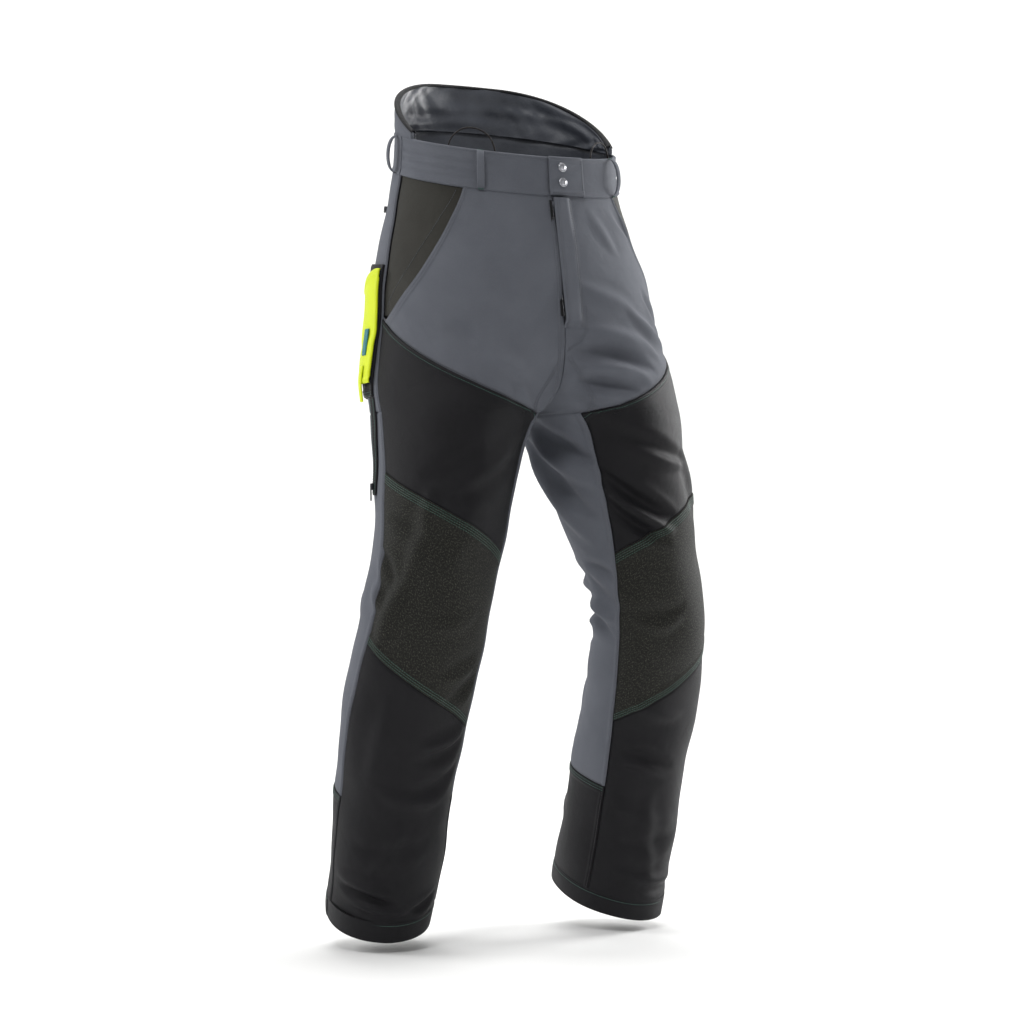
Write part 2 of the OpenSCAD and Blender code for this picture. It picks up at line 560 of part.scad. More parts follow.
// The rear zip follows the arc through three points of the right seat.
rear_out = 3.6;
function rear_point(d, u) = let (p = lifted(d, u, rear_out)) [-p[0], p[1], p[2]];
rear_a = rear_point(104, 0.78);
rear_b = rear_point(106, 0.55);
rear_c = rear_point(108, 0.32);
rear_axis = unit(cross(rear_b - rear_a, rear_c - rear_a));
function arc_middle(a, b, c) =
    let (ab = b - a, ac = c - a, n = cross(ab, ac))
    a + (cross(n, ab) * (ac * ac) + cross(ac, n) * (ab * ab)) / (2 * n * n);
rear_middle = arc_middle(rear_a, rear_b, rear_c);
rear_r = norm(rear_a - rear_middle);
rear_turn = acos(clamp1(unit(rear_a - rear_middle) * unit(rear_c - rear_middle)));
// Origin in the arc's middle, X towards its first end, Z along its axis.
module rear_frame() frame_at(rear_middle, cross(rear_axis, unit(rear_a - rear_middle)), rear_axis) children();
module rear_pocket_zip() color(black) rear_frame() for (s = [-1, 1]) {
    rotate_extrude(angle = rear_turn, $fn = 180)
        translate([rear_r - chain_t / 2, s > 0 ? chain_gap / 2 : -chain_gap / 2 - chain_w / 2])
            square([chain_t, chain_w / 2]);
    rotate_extrude(angle = rear_turn, $fn = 180)
        translate([rear_r - tape_t / 2, s > 0 ? (chain_gap + chain_w) / 2 : -(chain_gap + chain_w) / 2 - 5])
            square([tape_t, 5]);
}
// The slider stands near the arc's last end, beside the side seam.
rear_stop = rear_turn - 5;
module rear_pocket_slider() color("dimgray") rear_frame() rotate([0, 0, rear_stop]) translate([rear_r, 0, 0])
    rotate([0, 0, 90]) rotate([0, 90, 0]) translate([0, 0, slider_h / 2]) zip_slider();

waistband_front_right();
waistband_front_left();
waistband_back();
waist_tab();
raised_back_panel();
raised_back_lining();
raised_back_binding();
belt_loops();
waist_cord_right();
waist_cord_left();
stud_caps();
stud_sockets();
stud_posts();
fly_placket();
fly_underlay();
fly_zip_chain();
fly_zip_slider();
fly_zip_pull();
front_panel_right();
front_panel_left();
seat_panel_right();
seat_panel_left();
hip_pocket_facing_right();
hip_pocket_facing_left();
hip_pocket_bag_right();
hip_pocket_bag_left();
thigh_panel_right();
thigh_panel_left();
knee_patch_right();
knee_patch_left();
shin_panel_right();
shin_panel_left();
cut_pad_right();
cut_pad_left();
back_thigh_panel_right();
back_thigh_panel_left();
back_knee_panel_right();
back_knee_panel_left();
back_calf_panel_right();
back_calf_panel_left();
gaiter_panel_right();
gaiter_panel_left();
hem_band_right();
hem_band_left();
cargo_pocket_right();
cargo_flap_right();
flap_pull_tab();
flap_label();
side_pocket_left();
vent_zip_right();
vent_zip_left();
vent_slider_right();
vent_slider_left();
vent_pull_right();
vent_pull_left();
rear_pocket_zip();
rear_pocket_slider();
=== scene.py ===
"""Chainsaw protective trousers: cloth panels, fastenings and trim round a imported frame."""
import math

import bpy
import numpy as np
from bpy.props import FloatProperty, FloatVectorProperty, PointerProperty
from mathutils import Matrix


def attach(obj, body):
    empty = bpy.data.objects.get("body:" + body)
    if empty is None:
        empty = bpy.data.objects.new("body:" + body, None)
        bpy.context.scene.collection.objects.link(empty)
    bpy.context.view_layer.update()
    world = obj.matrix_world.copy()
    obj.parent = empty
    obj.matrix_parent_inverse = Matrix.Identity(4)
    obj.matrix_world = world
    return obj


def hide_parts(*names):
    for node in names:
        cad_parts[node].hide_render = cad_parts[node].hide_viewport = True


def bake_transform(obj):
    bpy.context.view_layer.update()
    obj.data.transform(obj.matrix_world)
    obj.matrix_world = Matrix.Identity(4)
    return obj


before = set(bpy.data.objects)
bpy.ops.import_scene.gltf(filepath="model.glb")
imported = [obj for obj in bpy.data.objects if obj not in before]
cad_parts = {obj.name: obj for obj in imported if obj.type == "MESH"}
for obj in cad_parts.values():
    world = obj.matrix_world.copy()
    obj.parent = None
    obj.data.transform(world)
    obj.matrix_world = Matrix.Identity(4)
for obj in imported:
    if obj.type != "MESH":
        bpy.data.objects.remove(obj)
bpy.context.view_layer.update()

bl_info = {
    "name": "Chainsaw trousers",
    "version": (1, 0, 0),
    "blender": (4, 5, 0),
    "location": "3D View > Sidebar > Trousers",
    "description": "Makes the cloth, trim and fastenings of a pair of chainsaw trousers",
    "category": "Object",
}

MM = 0.001
RIGHT, LEFT = -1, 1
SIDE_NAME = {RIGHT: "right", LEFT: "left"}

# ---- the garment's surface: places are a drop below the waist in mm and a round place ----------

# One row per station down the garment: drop, sideways and backward place of the section's middle,
# half width, depth in front, depth behind, turn outward, lean, side seam and inner seam.
STATIONS = np.array([
    [0, 0, 0, 163, 124, 122, 0, 14.5, 0, -0.75],
    [52, 2, -2, 165, 128, 125, 0, 14.5, 0, -0.75],
    [110, 12, -8, 168, 134, 138, 0, 10, 0, -0.75],
    [170, 26, -16, 168, 137, 150, 0, 6, 0, -0.75],
    [270, 54, -36, 158, 132, 160, 2, 2, 0, -0.75],
    [334, 84, -50, 140, 124, 156, 4, 0, -0.02, -0.75],
    [380, 114, -62, 113, 114, 146, 6, 0, -0.03, -0.755],
    [460, 134, -76, 97, 100, 124, 11, 0, -0.06, -0.765],
    [550, 154, -88, 88, 86, 98, 14, 2, -0.10, -0.795],
    [650, 177, -92, 87, 72, 66, 15, 6, -0.14, -0.845],
    [740, 187, -70, 88, 70, 76, 15, 12, -0.12, -0.84],
    [850, 188, -34, 82, 74, 82, 15, 17, -0.08, -0.82],
    [960, 186, -2, 78, 80, 84, 15, 19, -0.06, -0.82],
    [1064, 184, 30, 72, 86, 88, 15, 20, -0.05, -0.83]], float)
WIDE, FRONT, BACK, YAW, LEAN, SIDE_SEAM, INNER_SEAM = range(3, 10)
CROTCH, KNEE, HEM = 380.0, 650.0, 1064.0
BAND_H, GAITER, HEM_BAND = 52.0, 890.0, 24.0
STEP = np.diff(STATIONS[:, 0])
CHORD = np.diff(STATIONS, axis=0) / STEP[:, None]
SLOPE = np.concatenate([CHORD[:1], (CHORD[1:] * STEP[:-1, None] + CHORD[:-1] * STEP[1:, None])
                        / (STEP[:-1] + STEP[1:])[:, None], CHORD[-1:]])


def section(drop):
    """Cubic curves through the stations; a station's slope is its two chords, each weighted by the other's length."""
    i = np.clip(np.searchsorted(STATIONS[:, 0], drop, side="right") - 1, 0, len(STEP) - 1)
    h = STEP[i][..., None]
    t = (np.asarray(drop)[..., None] - STATIONS[i, :1]) / h
    return ((2 * t**3 - 3 * t**2 + 1) * STATIONS[i] + (t**3 - 2 * t**2 + t) * h * SLOPE[i]
            + (-2 * t**3 + 3 * t**2) * STATIONS[i + 1] + (t**3 - t**2) * h * SLOPE[i + 1])


def inner_turn(s):
    """How far past straight behind the inner leg lies, in degrees, on a section turned outward."""
    yaw = np.radians(s[..., YAW])
    return np.degrees(np.arctan2((s[..., FRONT] + s[..., BACK]) / 2 * np.sin(yaw), s[..., WIDE] * np.cos(yaw)))


def reach(s, depth, way):
    """The angle at which a section meets the middle plane, in front (-1) or behind (1)."""
    yaw = np.radians(s[..., YAW])
    a, b = s[..., WIDE] * np.cos(yaw), depth * np.sin(yaw)
    across = np.clip(-s[..., 1] / np.hypot(a, b), -1, 1)
    return np.degrees(way * np.arccos(across) - np.arctan2(b, a))


def degrees_at(drop, round_place):
    """The angle round the section: 0 at the side, negative in front; the round place scales it to the seams."""
    s = section(drop)
    i = inner_turn(s)
    below = np.where(round_place < 0, round_place * (180 + i), round_place * (180 - i))
    above = np.where(round_place < 0, -round_place * np.maximum(-180, reach(s, s[..., FRONT], -1)),
                     round_place * np.minimum(180, reach(s, s[..., BACK], 1)))
    return np.where(drop > CROTCH, below, above)


def bare(drop, round_place):
    """A point of the left half, in mm: two half ellipses on each section, turned and leant with it."""
    s = section(drop)
    yaw, lean = np.radians(s[..., YAW]), np.radians(s[..., LEAN])
    a = np.radians(degrees_at(drop, round_place))
    x = s[..., WIDE] * np.cos(a)
    y = np.where(np.sin(a) < 0, s[..., FRONT], s[..., BACK]) * np.sin(a)
    return np.stack([s[..., 1] + x * np.cos(yaw) - y * np.sin(yaw),
                     s[..., 2] + (x * np.sin(yaw) + y * np.cos(yaw)) * np.cos(lean),
                     y * np.sin(lean) - drop], -1)


def unit(v):
    return v / np.maximum(np.linalg.norm(v, axis=-1, keepdims=True), 1e-9)


def outward(drop, round_place):
    """The outward normal of the bare surface, from small steps along both ways."""
    end = np.minimum(np.where(drop <= CROTCH, 1.0, 1.25), round_place + 0.01)
    return unit(np.cross(bare(drop, end) - bare(drop, end - 0.02),
                         bare(drop - 2, round_place) - bare(drop + 2, round_place)))


def mix(a, b, t):
    return a + (b - a) * t


def ease(t):
    t = np.clip(t, 0, 1)
    return t * t * (3 - 2 * t)


# ---- folds -------------------------------------------------------------------------------------

# Each fold runs from one drop and angle to another: (drop, degrees, drop, degrees, half width in mm,
# height in mm, bow in mm). A negative height is a valley.
FOLDS = {
    LEFT: [
        (262, -106, 300, -50, 11, 4.0, -10), (300, -118, 318, -62, 11, -7.0, -12),
        (320, -118, 336, -70, 10, 5.0, -8), (340, -128, 350, -86, 9, -6.0, -6),
        (352, -130, 372, -104, 8, 3.5, -4), (225, -70, 285, -30, 10, 3.2, 8),
        (200, -48, 262, -22, 9, -3.5, 6), (190, -96, 230, -60, 12, 2.2, 5),
        (60, -70, 150, -60, 10, 1.6, 8), (56, -52, 120, -40, 8, -1.8, 6),
        (384, -190, 446, -146, 11, -7.0, 6), (404, -196, 480, -150, 10, 5.5, 8),
        (398, -214, 520, -162, 11, -6.0, 8), (430, -218, 560, -172, 10, 4.5, 8),
        (450, -150, 520, -86, 10, -5.0, 10), (468, -148, 540, -92, 9, 4.5, 10),
        (492, -150, 556, -100, 9, -4.5, 6), (395, -130, 440, -60, 11, -3.2, 8),
        (412, -120, 450, -60, 9, 2.6, 8), (420, -60, 520, -44, 13, 3.2, -6),
        (586, -200, 606, -160, 8, -4.5, -4), (640, -226, 668, -162, 8, 4.0, -6),
        (655, -232, 690, -166, 9, -5.0, -6), (600, -200, 650, -150, 11, -3.5, 6),
        (640, -150, 634, -90, 11, -2.6, 12), (656, -150, 652, -96, 9, 2.2, 10),
        (762, -150, 780, -84, 10, 2.2, 8), (835, -150, 848, -88, 9, -2.6, -5),
        (848, -150, 862, -96, 8, 2.0, -5), (905, -150, 925, -70, 12, 2.2, 8),
        (960, -140, 940, -60, 11, -2.4, 6), (1000, -140, 1004, -50, 9, 2.6, 5),
        (880, -110, 1010, -96, 13, 2.2, 8), (1012, -120, 1022, -40, 7, -2.4, 4)],
    RIGHT: [
        (300, -70, 340, -100, 16, 2.2, -6), (318, -78, 352, -112, 10, -2.6, -6),
        (340, -96, 372, -124, 9, 3.0, -4), (262, -44, 300, -66, 14, -1.8, 5),
        (150, -96, 252, -92, 18, 1.4, 5), (395, -130, 470, -96, 14, 2.2, 8),
        (420, -96, 470, -50, 14, -2.0, 10), (440, -130, 500, -80, 12, -2.2, 8),
        (480, -60, 600, -52, 13, 3.0, 6), (500, -92, 590, -80, 13, -2.0, -6),
        (590, -58, 690, -40, 13, 3.2, -10), (520, -24, 560, -70, 11, -2.6, 8),
        (560, -16, 604, -42, 8, -3.4, 4), (604, -16, 640, -34, 9, 3.2, -4),
        (640, -130, 660, -80, 10, 2.0, 6), (700, -150, 724, -104, 9, 4.0, 6),
        (724, -156, 752, -110, 9, -3.4, 4), (790, -150, 806, -96, 9, 3.0, 6),
        (806, -150, 826, -90, 9, -2.4, 6), (740, -60, 860, -50, 14, 2.2, 6),
        (840, -150, 866, -92, 10, -3.0, 8), (862, -60, 880, -130, 11, 2.4, -8),
        (900, -90, 980, -60, 12, 2.2, 8), (930, -120, 944, -40, 12, -2.4, 8),
        (990, -20, 1004, -90, 8, 2.6, 5), (1004, -26, 1022, -96, 7, -4.2, 5),
        (1018, -44, 1030, -120, 6, 3.2, 4), (1026, -96, 1012, -150, 6, -3.2, -4),
        (620, 14, 690, 60, 11, 3.2, 8), (640, 30, 700, 100, 10, -4.0, 8)]}
# Creases behind both knees and under the seat, on the back.
BACK_FOLDS = [
    (300, 60, 352, 150, 14, 4.0, -14), (330, 40, 376, 140, 12, -4.5, -14), (360, 70, 392, 165, 11, 3.5, -8),
    (590, 60, 606, 150, 10, -4.0, -8), (612, 50, 628, 160, 9, 4.5, -8), (636, 46, 650, 160, 9, -5.5, 0),
    (658, 50, 668, 158, 9, 4.5, 8), (684, 60, 690, 150, 10, -4.0, 8), (420, 60, 500, 120, 16, 2.6, 8),
    (740, 70, 800, 140, 14, 2.6, -8), (820, 60, 870, 130, 13, -2.4, 8), (930, 50, 960, 140, 13, 2.6, -8),
    (150, 60, 240, 95, 18, 2.2, 10), (180, 30, 270, 60, 16, -2.2, 10)]


def radius_mm(drop):
    """The mean radius of a section."""
    s = section(drop)
    return s[..., WIDE] / 2 + (s[..., FRONT] + s[..., BACK]) / 4


def one_fold(drop, x, fold):
    """A ridge with a shallow dip at each side, highest half way along and fading to its ends; x is the way
    round in mm."""
    d0, g0, d1, g1, half_width, height, bow = fold
    x0, x1 = (math.radians(g) * float(radius_mm(np.array(d))) for d, g in ((d0, g0), (d1, g1)))
    along = np.array([x1 - x0, d1 - d0])
    length = np.hypot(*along)
    t = np.clip(((x - x0) * along[0] + (drop - d0) * along[1]) / length**2, 0, 1)
    off = ((drop - d0) * along[0] - (x - x0) * along[1]) / length - bow * 4 * t * (1 - t)
    rise = np.sin(math.pi * t)
    q = off / (half_width * (0.55 + 0.45 * rise))
    return height * rise**0.8 * (np.exp(-q**2) - 0.35 * np.exp(-(np.abs(q) - 1.7)**2))


def side_lift(side, drop, degrees):
    """All folds of one side, and a slow unevenness of three crossed waves that closes round the leg."""
    turn = np.radians(degrees)
    lift = (0.5 * np.sin(drop / 23 + 3 * turn + side) + 0.4 * np.sin(drop / 37 - 5 * turn + 2 * side)
            + 0.25 * np.sin(drop / 11 + 2 * turn - side))
    radius = radius_mm(drop)
    below = drop > CROTCH
    for fold in FOLDS[side] + BACK_FOLDS:
        near = (drop > min(fold[0], fold[2]) - 60) & (drop < max(fold[0], fold[2]) + 60)
        for full_turn in (-360, 0, 360):
            here = near if full_turn == 0 else near & below
            if here.any():
                lift[here] += one_fold(drop[here], (turn[here] + math.radians(full_turn)) * radius[here], fold)
    return lift


def fold_lift(side, drop, round_place):
    """The side's folds; near the middle plane both sides take the mean of their folds there, so they meet."""
    degrees = degrees_at(drop, round_place)
    own = side_lift(side, drop, degrees)
    s = section(drop)
    way = np.where(round_place < 0, -1, 1)
    depth = np.where(way < 0, s[..., FRONT], s[..., BACK])
    middle = np.where(drop > CROTCH, 180.0 * way, reach(s, depth, way))
    gap = np.radians(degrees - middle) * radius_mm(drop) / 22
    near = np.exp(-gap**2) * ease((CROTCH + 60 - drop) / 60)
    own = own + near * (side_lift(-side, drop, middle) - side_lift(side, drop, middle)) / 2
    # The folds die out under the waistband.
    return own * ease((drop - BAND_H - 4) / 50) * sizes().fold_height


def cloth(side, drop, round_place, out=0.0):
    """A point of the folded surface, out mm above it, in metres."""
    drop, round_place = np.broadcast_arrays(np.asarray(drop, float), np.asarray(round_place, float))
    lift = np.asarray(out + fold_lift(side, np.array(drop), np.array(round_place)))[..., None]
    return (bare(drop, round_place) + lift * outward(drop, round_place)) * np.array([side, 1, 1]) * MM


# ---- mesh helpers ------------------------------------------------------------------------------

def new_mesh(name, points, faces, uv=None, material_of_face=None):
    """An object from a point array and a list of face arrays, each with its own number of corners."""
    mesh = bpy.data.meshes.new(name)
    corners = np.concatenate([f.ravel() for f in faces]).astype(np.int32)
    totals = np.concatenate([np.full(len(f), f.shape[1]) for f in faces]).astype(np.int32)
    starts = np.concatenate([[0], np.cumsum(totals)[:-1]]).astype(np.int32)
    mesh.vertices.add(len(points))
    mesh.vertices.foreach_set("co", np.asarray(points, np.float32).ravel())
    mesh.loops.add(len(corners))
    mesh.loops.foreach_set("vertex_index", corners)
    mesh.polygons.add(len(totals))
    mesh.polygons.foreach_set("loop_start", starts)
    if material_of_face is not None:
        mesh.polygons.foreach_set("material_index", np.asarray(material_of_face, np.int32))
    if uv is not None:
        layer = mesh.uv_layers.new(name="cloth")
        layer.data.foreach_set("uv", np.asarray(uv, np.float32)[corners].ravel())
    mesh.polygons.foreach_set("use_smooth", np.ones(len(totals), bool))
    mesh.update(calc_edges=True)
    mesh.validate()
    obj = bpy.data.objects.new(name, mesh)
    bpy.context.scene.collection.objects.link(obj)
    return obj


def cloth_uv(points):
    """Distances in metres along the rows and down the columns of a grid, so that a weave keeps its size."""
    across = np.linalg.norm(np.diff(points, axis=1), axis=-1)
    across = np.concatenate([np.zeros((len(points), 1)), np.cumsum(across, axis=1)], axis=1)
    across -= across[:, -1:] / 2
    down = np.linalg.norm(np.diff(points, axis=0), axis=-1).mean(axis=1)
    down = np.concatenate([[0], np.cumsum(down)])[:, None] + np.zeros_like(across)
    return np.stack([across, down], -1)


def shell(name, outer, inner, finish, lining=None, ring=False):
    """A closed sheet between two grids of points: both faces and the rim; a ring's columns close on themselves."""
    rows, cols = outer.shape[:2]
    index = np.arange(rows * cols).reshape(rows, cols)
    if ring:
        index = np.concatenate([index, index[:, :1]], axis=1)
    back = index + rows * cols
    front_faces = np.stack([index[:-1, :-1], index[1:, :-1], index[1:, 1:], index[:-1, 1:]], -1).reshape(-1, 4)
    back_faces = np.stack([back[:-1, :-1], back[:-1, 1:], back[1:, 1:], back[1:, :-1]], -1).reshape(-1, 4)
    rims = [np.stack([index[0, :-1], index[0, 1:], back[0, 1:], back[0, :-1]], -1),
            np.stack([index[-1, 1:], index[-1, :-1], back[-1, :-1], back[-1, 1:]], -1)]
    if not ring:
        rims += [np.stack([index[1:, 0], index[:-1, 0], back[:-1, 0], back[1:, 0]], -1),
                 np.stack([index[:-1, -1], index[1:, -1], back[1:, -1], back[:-1, -1]], -1)]
    points = np.concatenate([outer.reshape(-1, 3), inner.reshape(-1, 3)])
    a, b, c = (points[front_faces[:, k]] for k in (0, 1, 2))
    facing = (np.cross(b - a, c - a) * (a - points[front_faces[:, 0] + rows * cols])).sum()
    faces = np.concatenate([front_faces, back_faces] + rims)
    if facing < 0:
        faces = faces[:, ::-1]
    uv = cloth_uv(outer).reshape(-1, 2)
    material_of_face = np.zeros(len(faces), int)
    if lining is not None:
        material_of_face[len(front_faces):len(front_faces) + len(back_faces)] = 1
    obj = new_mesh(name, points, [faces], np.concatenate([uv, uv]), material_of_face)
    obj.data.materials.append(material(finish))
    if lining is not None:
        obj.data.materials.append(material(lining))
    return obj


SEAM_STOPS = np.array([0, 0.4, 0.9, 1.5, 2.4, 3.3, 4.2, 5.4, 6.5, 7.7, 9.0, 10.2, 11.6, 13.0, 15.0])


def stops(length, step=3.4):
    """Fractions along a cut of this many mm: close together beside both edges, step apart between them."""
    near = SEAM_STOPS if length > 60 else SEAM_STOPS[:6] * min(1, length / 24)
    middle = np.linspace(near[-1], length - near[-1], max(3, int((length - 2 * near[-1]) / step)))
    return np.concatenate([near, middle[1:-1], length - near[::-1]]) / length


LAP_HEIGHT = 1.1


def edge_lift(edge, distance):
    """Height near an edge: a lapped edge stands up, rolls over and dips at its stitches; a tucked one sinks."""
    kind, rows = edge
    if kind == "tuck":
        return -1.3 * np.exp(-(distance / 2.2)**2)
    if kind == "flat":
        return -0.8 * np.exp(-(distance / 0.8)**2)
    widest = (max(rows) if rows else 4) + 2.5
    lift = LAP_HEIGHT * (1 - ease((distance - widest) / 3.5)) - 1.5 * np.exp(-(distance / 0.9)**2)
    for row in rows:
        lift = lift - 0.45 * np.exp(-((distance - row) / 0.9)**2)
    return lift


class Cut:
    """A cut of cloth on the garment. places(k, f) gives the drop and round place at fractions k down and f across;
    edges are (kind, stitch rows in mm) for the top, the bottom, f = 0 and f = 1."""

    def __init__(self, side, places, height, width, top, low, first, second, out=0.0, shape=None):
        self.side, self.places, self.height, self.width = side, places, height, width
        self.top, self.low, self.first, self.second = top, low, first, second
        self.out, self.shape = out, shape

    def lift(self, k, f):
        near = (edge_lift(self.top, k * self.height), edge_lift(self.low, (1 - k) * self.height),
                edge_lift(self.first, f * self.width), edge_lift(self.second, (1 - f) * self.width))
        high = np.maximum.reduce([np.maximum(n, 0) for n in near])
        low = np.minimum.reduce([np.minimum(n, 0) for n in near])
        extra = self.shape(k, f) if self.shape else 0
        return self.out + high + low + extra

    def point(self, k, f, out=0.0):
        drop, round_place = self.places(k, f)
        return cloth(self.side, drop, round_place, self.lift(k, f) + out)

    def piece(self, name, finish, thickness=None, lining=None, step=3.4):
        k, f = np.meshgrid(stops(self.height, step), stops(self.width, step), indexing="ij")
        thickness = thickness or sizes().cloth_thickness / MM
        return shell(name, self.point(k, f), self.point(k, f, -thickness), finish, lining)

    def row(self, edge, distance, thread, start=0.0, end=1.0, **bead):
        """A stitch row that follows an edge, distance mm inside it."""
        line = np.linspace(start, end, 260)
        if edge in ("top", "low"):
            k = np.full_like(line, distance / self.height)
            k, f = (k if edge == "top" else 1 - k), line
        else:
            f = np.full_like(line, distance / self.width)
            k, f = line, (f if edge == "first" else 1 - f)
        return bead_row(self.point(k, f, 0.1), self.point(k, f, 1.1), thread, **bead)

    def rows(self, threads):
        """Every stitch row of the lapped edges, in each edge's thread."""
        return [self.row(edge, distance, thread, 0.004, 0.996)
                for edge, thread in threads.items() for distance in getattr(self, edge)[1]]


# A bead is two tips and three rings of five corners, 20 faces.
BEAD_T = np.array([-0.8, 0.0, 0.8])
BEAD_R = np.array([0.72, 1.0, 0.72])
BEAD_SIDES = 5


def bead_row(line, above, finish, pitch=None, half=None, radius=None, crosswise=False, flat=1.0, shift=0.0):
    """Beads at an even pitch along a line of points, lengthwise or crosswise, as points and faces.
    above is the line 1 mm further out, flat squeezes a bead towards the cloth, shift moves it sideways."""
    pitch = pitch or sizes().stitch_pitch
    half = half or pitch * 0.40
    radius = radius or sizes().thread_width / 2
    travelled = np.concatenate([[0], np.cumsum(np.linalg.norm(np.diff(line, axis=0), axis=1))])
    places = np.arange(pitch / 2, travelled[-1], pitch)

    def taken(values, at_places):
        return np.stack([np.interp(at_places, travelled, values[:, i]) for i in range(3)], -1)
    middle = taken(line, places)
    along = unit(taken(line, places + pitch / 8) - taken(line, places - pitch / 8))
    up = unit(taken(above - line, places))
    across = unit(np.cross(along, up))
    middle = middle + across * (shift * np.where(np.arange(len(places)) % 2, 1, -1))[:, None]
    if crosswise:
        along, across = across, -along
    turn = 2 * math.pi * np.arange(BEAD_SIDES) / BEAD_SIDES
    ring = (BEAD_T[:, None, None] * half * along[:, None, None] + radius * BEAD_R[:, None, None]
            * (np.cos(turn)[:, None] * across[:, None, None] + flat * np.sin(turn)[:, None] * up[:, None, None]))
    points = np.concatenate([np.stack([-half * along, half * along], 1), ring.reshape(len(places), -1, 3)], 1)
    points = points + middle[:, None]
    j = np.arange(BEAD_SIDES)
    following = (j + 1) % BEAD_SIDES
    rings = [2 + BEAD_SIDES * r for r in range(3)]
    caps = np.concatenate([np.stack([np.zeros_like(j), rings[0] + following, rings[0] + j], -1),
                           np.stack([np.ones_like(j), rings[2] + j, rings[2] + following], -1)])
    walls = np.concatenate([np.stack([a + j, a + following, a + BEAD_SIDES + following, a + BEAD_SIDES + j], -1)
                            for a in rings[:2]])
    base = np.arange(len(places))[:, None, None] * points.shape[1]
    return points.reshape(-1, 3), (base + caps).reshape(-1, 3), (base + walls).reshape(-1, 4), finish


def beads(name, rows):
    """Rows of beads as one mesh with a material for each finish."""
    starts = np.cumsum([0] + [len(r[0]) for r in rows])
    finishes = list(dict.fromkeys(r[3] for r in rows))
    faces = [np.concatenate([r[i] + start for r, start in zip(rows, starts)]) for i in (1, 2)]
    which = np.concatenate([np.full(len(r[i]), finishes.index(r[3])) for i in (1, 2) for r in rows])
    obj = new_mesh(name, np.concatenate([r[0] for r in rows]), faces, material_of_face=which)
    for finish in finishes:
        obj.data.materials.append(material(finish))
    return obj


def tube(name, path, radius, finish, sides=12, flat_way=None):
    """A round profile carried along a path, closed by a pole at each end; u runs round it and v along it, in metres."""
    along = unit(np.gradient(path, axis=0))
    side_way = unit(np.cross(along, np.array([0.0, 0.0, 1.0]) if flat_way is None else flat_way))
    up = unit(np.cross(side_way, along))
    turn = 2 * math.pi * np.arange(sides) / sides
    radius = np.broadcast_to(radius, (len(path),))
    rings = path[:, None] + radius[:, None, None] * (np.cos(turn)[None, :, None] * side_way[:, None]
                                                      + np.sin(turn)[None, :, None] * up[:, None])
    n = len(path)
    points = np.concatenate([rings.reshape(-1, 3), path[:1], path[-1:]])
    i, j = np.meshgrid(np.arange(n - 1), np.arange(sides), indexing="ij")
    k = (j + 1) % sides
    quads = np.stack([i * sides + j, i * sides + k, (i + 1) * sides + k, (i + 1) * sides + j], -1).reshape(-1, 4)
    j = np.arange(sides)
    k = (j + 1) % sides
    caps = np.concatenate([np.stack([np.full_like(j, n * sides), k, j], -1),
                           np.stack([np.full_like(j, n * sides + 1), (n - 1) * sides + j, (n - 1) * sides + k], -1)])
    travelled = np.concatenate([[0], np.cumsum(np.linalg.norm(np.diff(path, axis=0), axis=1))])
    uv = np.stack(np.broadcast_arrays(np.abs(turn / math.pi - 1)[None] * math.pi * radius[:, None], travelled[:, None]), -1)
    uv = np.concatenate([uv.reshape(-1, 2), [[0, 0]], [[0, travelled[-1]]]])
    a, b, c = (points[quads[:, m]] for m in (0, 1, 2))
    inside_out = (np.cross(b - a, c - a) * (a - path[quads[:, 0] // sides])).sum() < 0
    if inside_out:
        quads, caps = quads[:, ::-1], caps[:, ::-1]
    obj = new_mesh(name, points, [quads, caps], uv)
    obj.data.materials.append(material(finish))
    return obj


def smooth_route(route, steps=10):
    """A Catmull-Rom curve through given points."""
    p = np.asarray(route, float)
    p = np.concatenate([p[:1], p, p[-1:]])
    t = (np.arange(steps) / steps)[:, None]
    pieces = [p[i] + 0.5 * t * ((p[i + 1] - p[i - 1]) + t * (2 * p[i - 1] - 5 * p[i] + 4 * p[i + 1] - p[i + 2]
              + t * (3 * p[i] - p[i - 1] - 3 * p[i + 1] + p[i + 2]))) for i in range(1, len(p) - 2)]
    return np.concatenate(pieces + [p[-1:]])


def revolve(name, profile, middle, axis, finish, sides=40):
    """A profile of (radius, height) points in metres turned about an axis; its first and last radii are 0."""
    axis = unit(np.asarray(axis, float))
    across = unit(np.cross(axis, np.array([0.0, 0.0, 1.0])))
    other = np.cross(axis, across)
    profile = np.asarray(profile, float)
    turn = 2 * math.pi * np.arange(sides) / sides
    body = profile[1:-1]
    rings = (middle + body[:, None, 1:] * axis
             + body[:, None, :1] * (np.cos(turn)[None, :, None] * across + np.sin(turn)[None, :, None] * other))
    points = np.concatenate([rings.reshape(-1, 3), [middle + profile[0, 1] * axis], [middle + profile[-1, 1] * axis]])
    n = len(body)
    i, j = np.meshgrid(np.arange(n - 1), np.arange(sides), indexing="ij")
    k = (j + 1) % sides
    quads = np.stack([i * sides + j, i * sides + k, (i + 1) * sides + k, (i + 1) * sides + j], -1).reshape(-1, 4)
    j = np.arange(sides)
    k = (j + 1) % sides
    caps = np.concatenate([np.stack([np.full_like(j, n * sides), k, j], -1),
                           np.stack([np.full_like(j, n * sides + 1), (n - 1) * sides + j, (n - 1) * sides + k], -1)])
    a, b, c = (points[quads[:, m]] for m in (0, 1, 2))
    if (np.cross(b - a, c - a) * (a - middle)).sum() < 0:
        quads, caps = quads[:, ::-1], caps[:, ::-1]
    obj = new_mesh(name, points, [quads, caps])
    obj.data.materials.append(material(finish))
    return obj


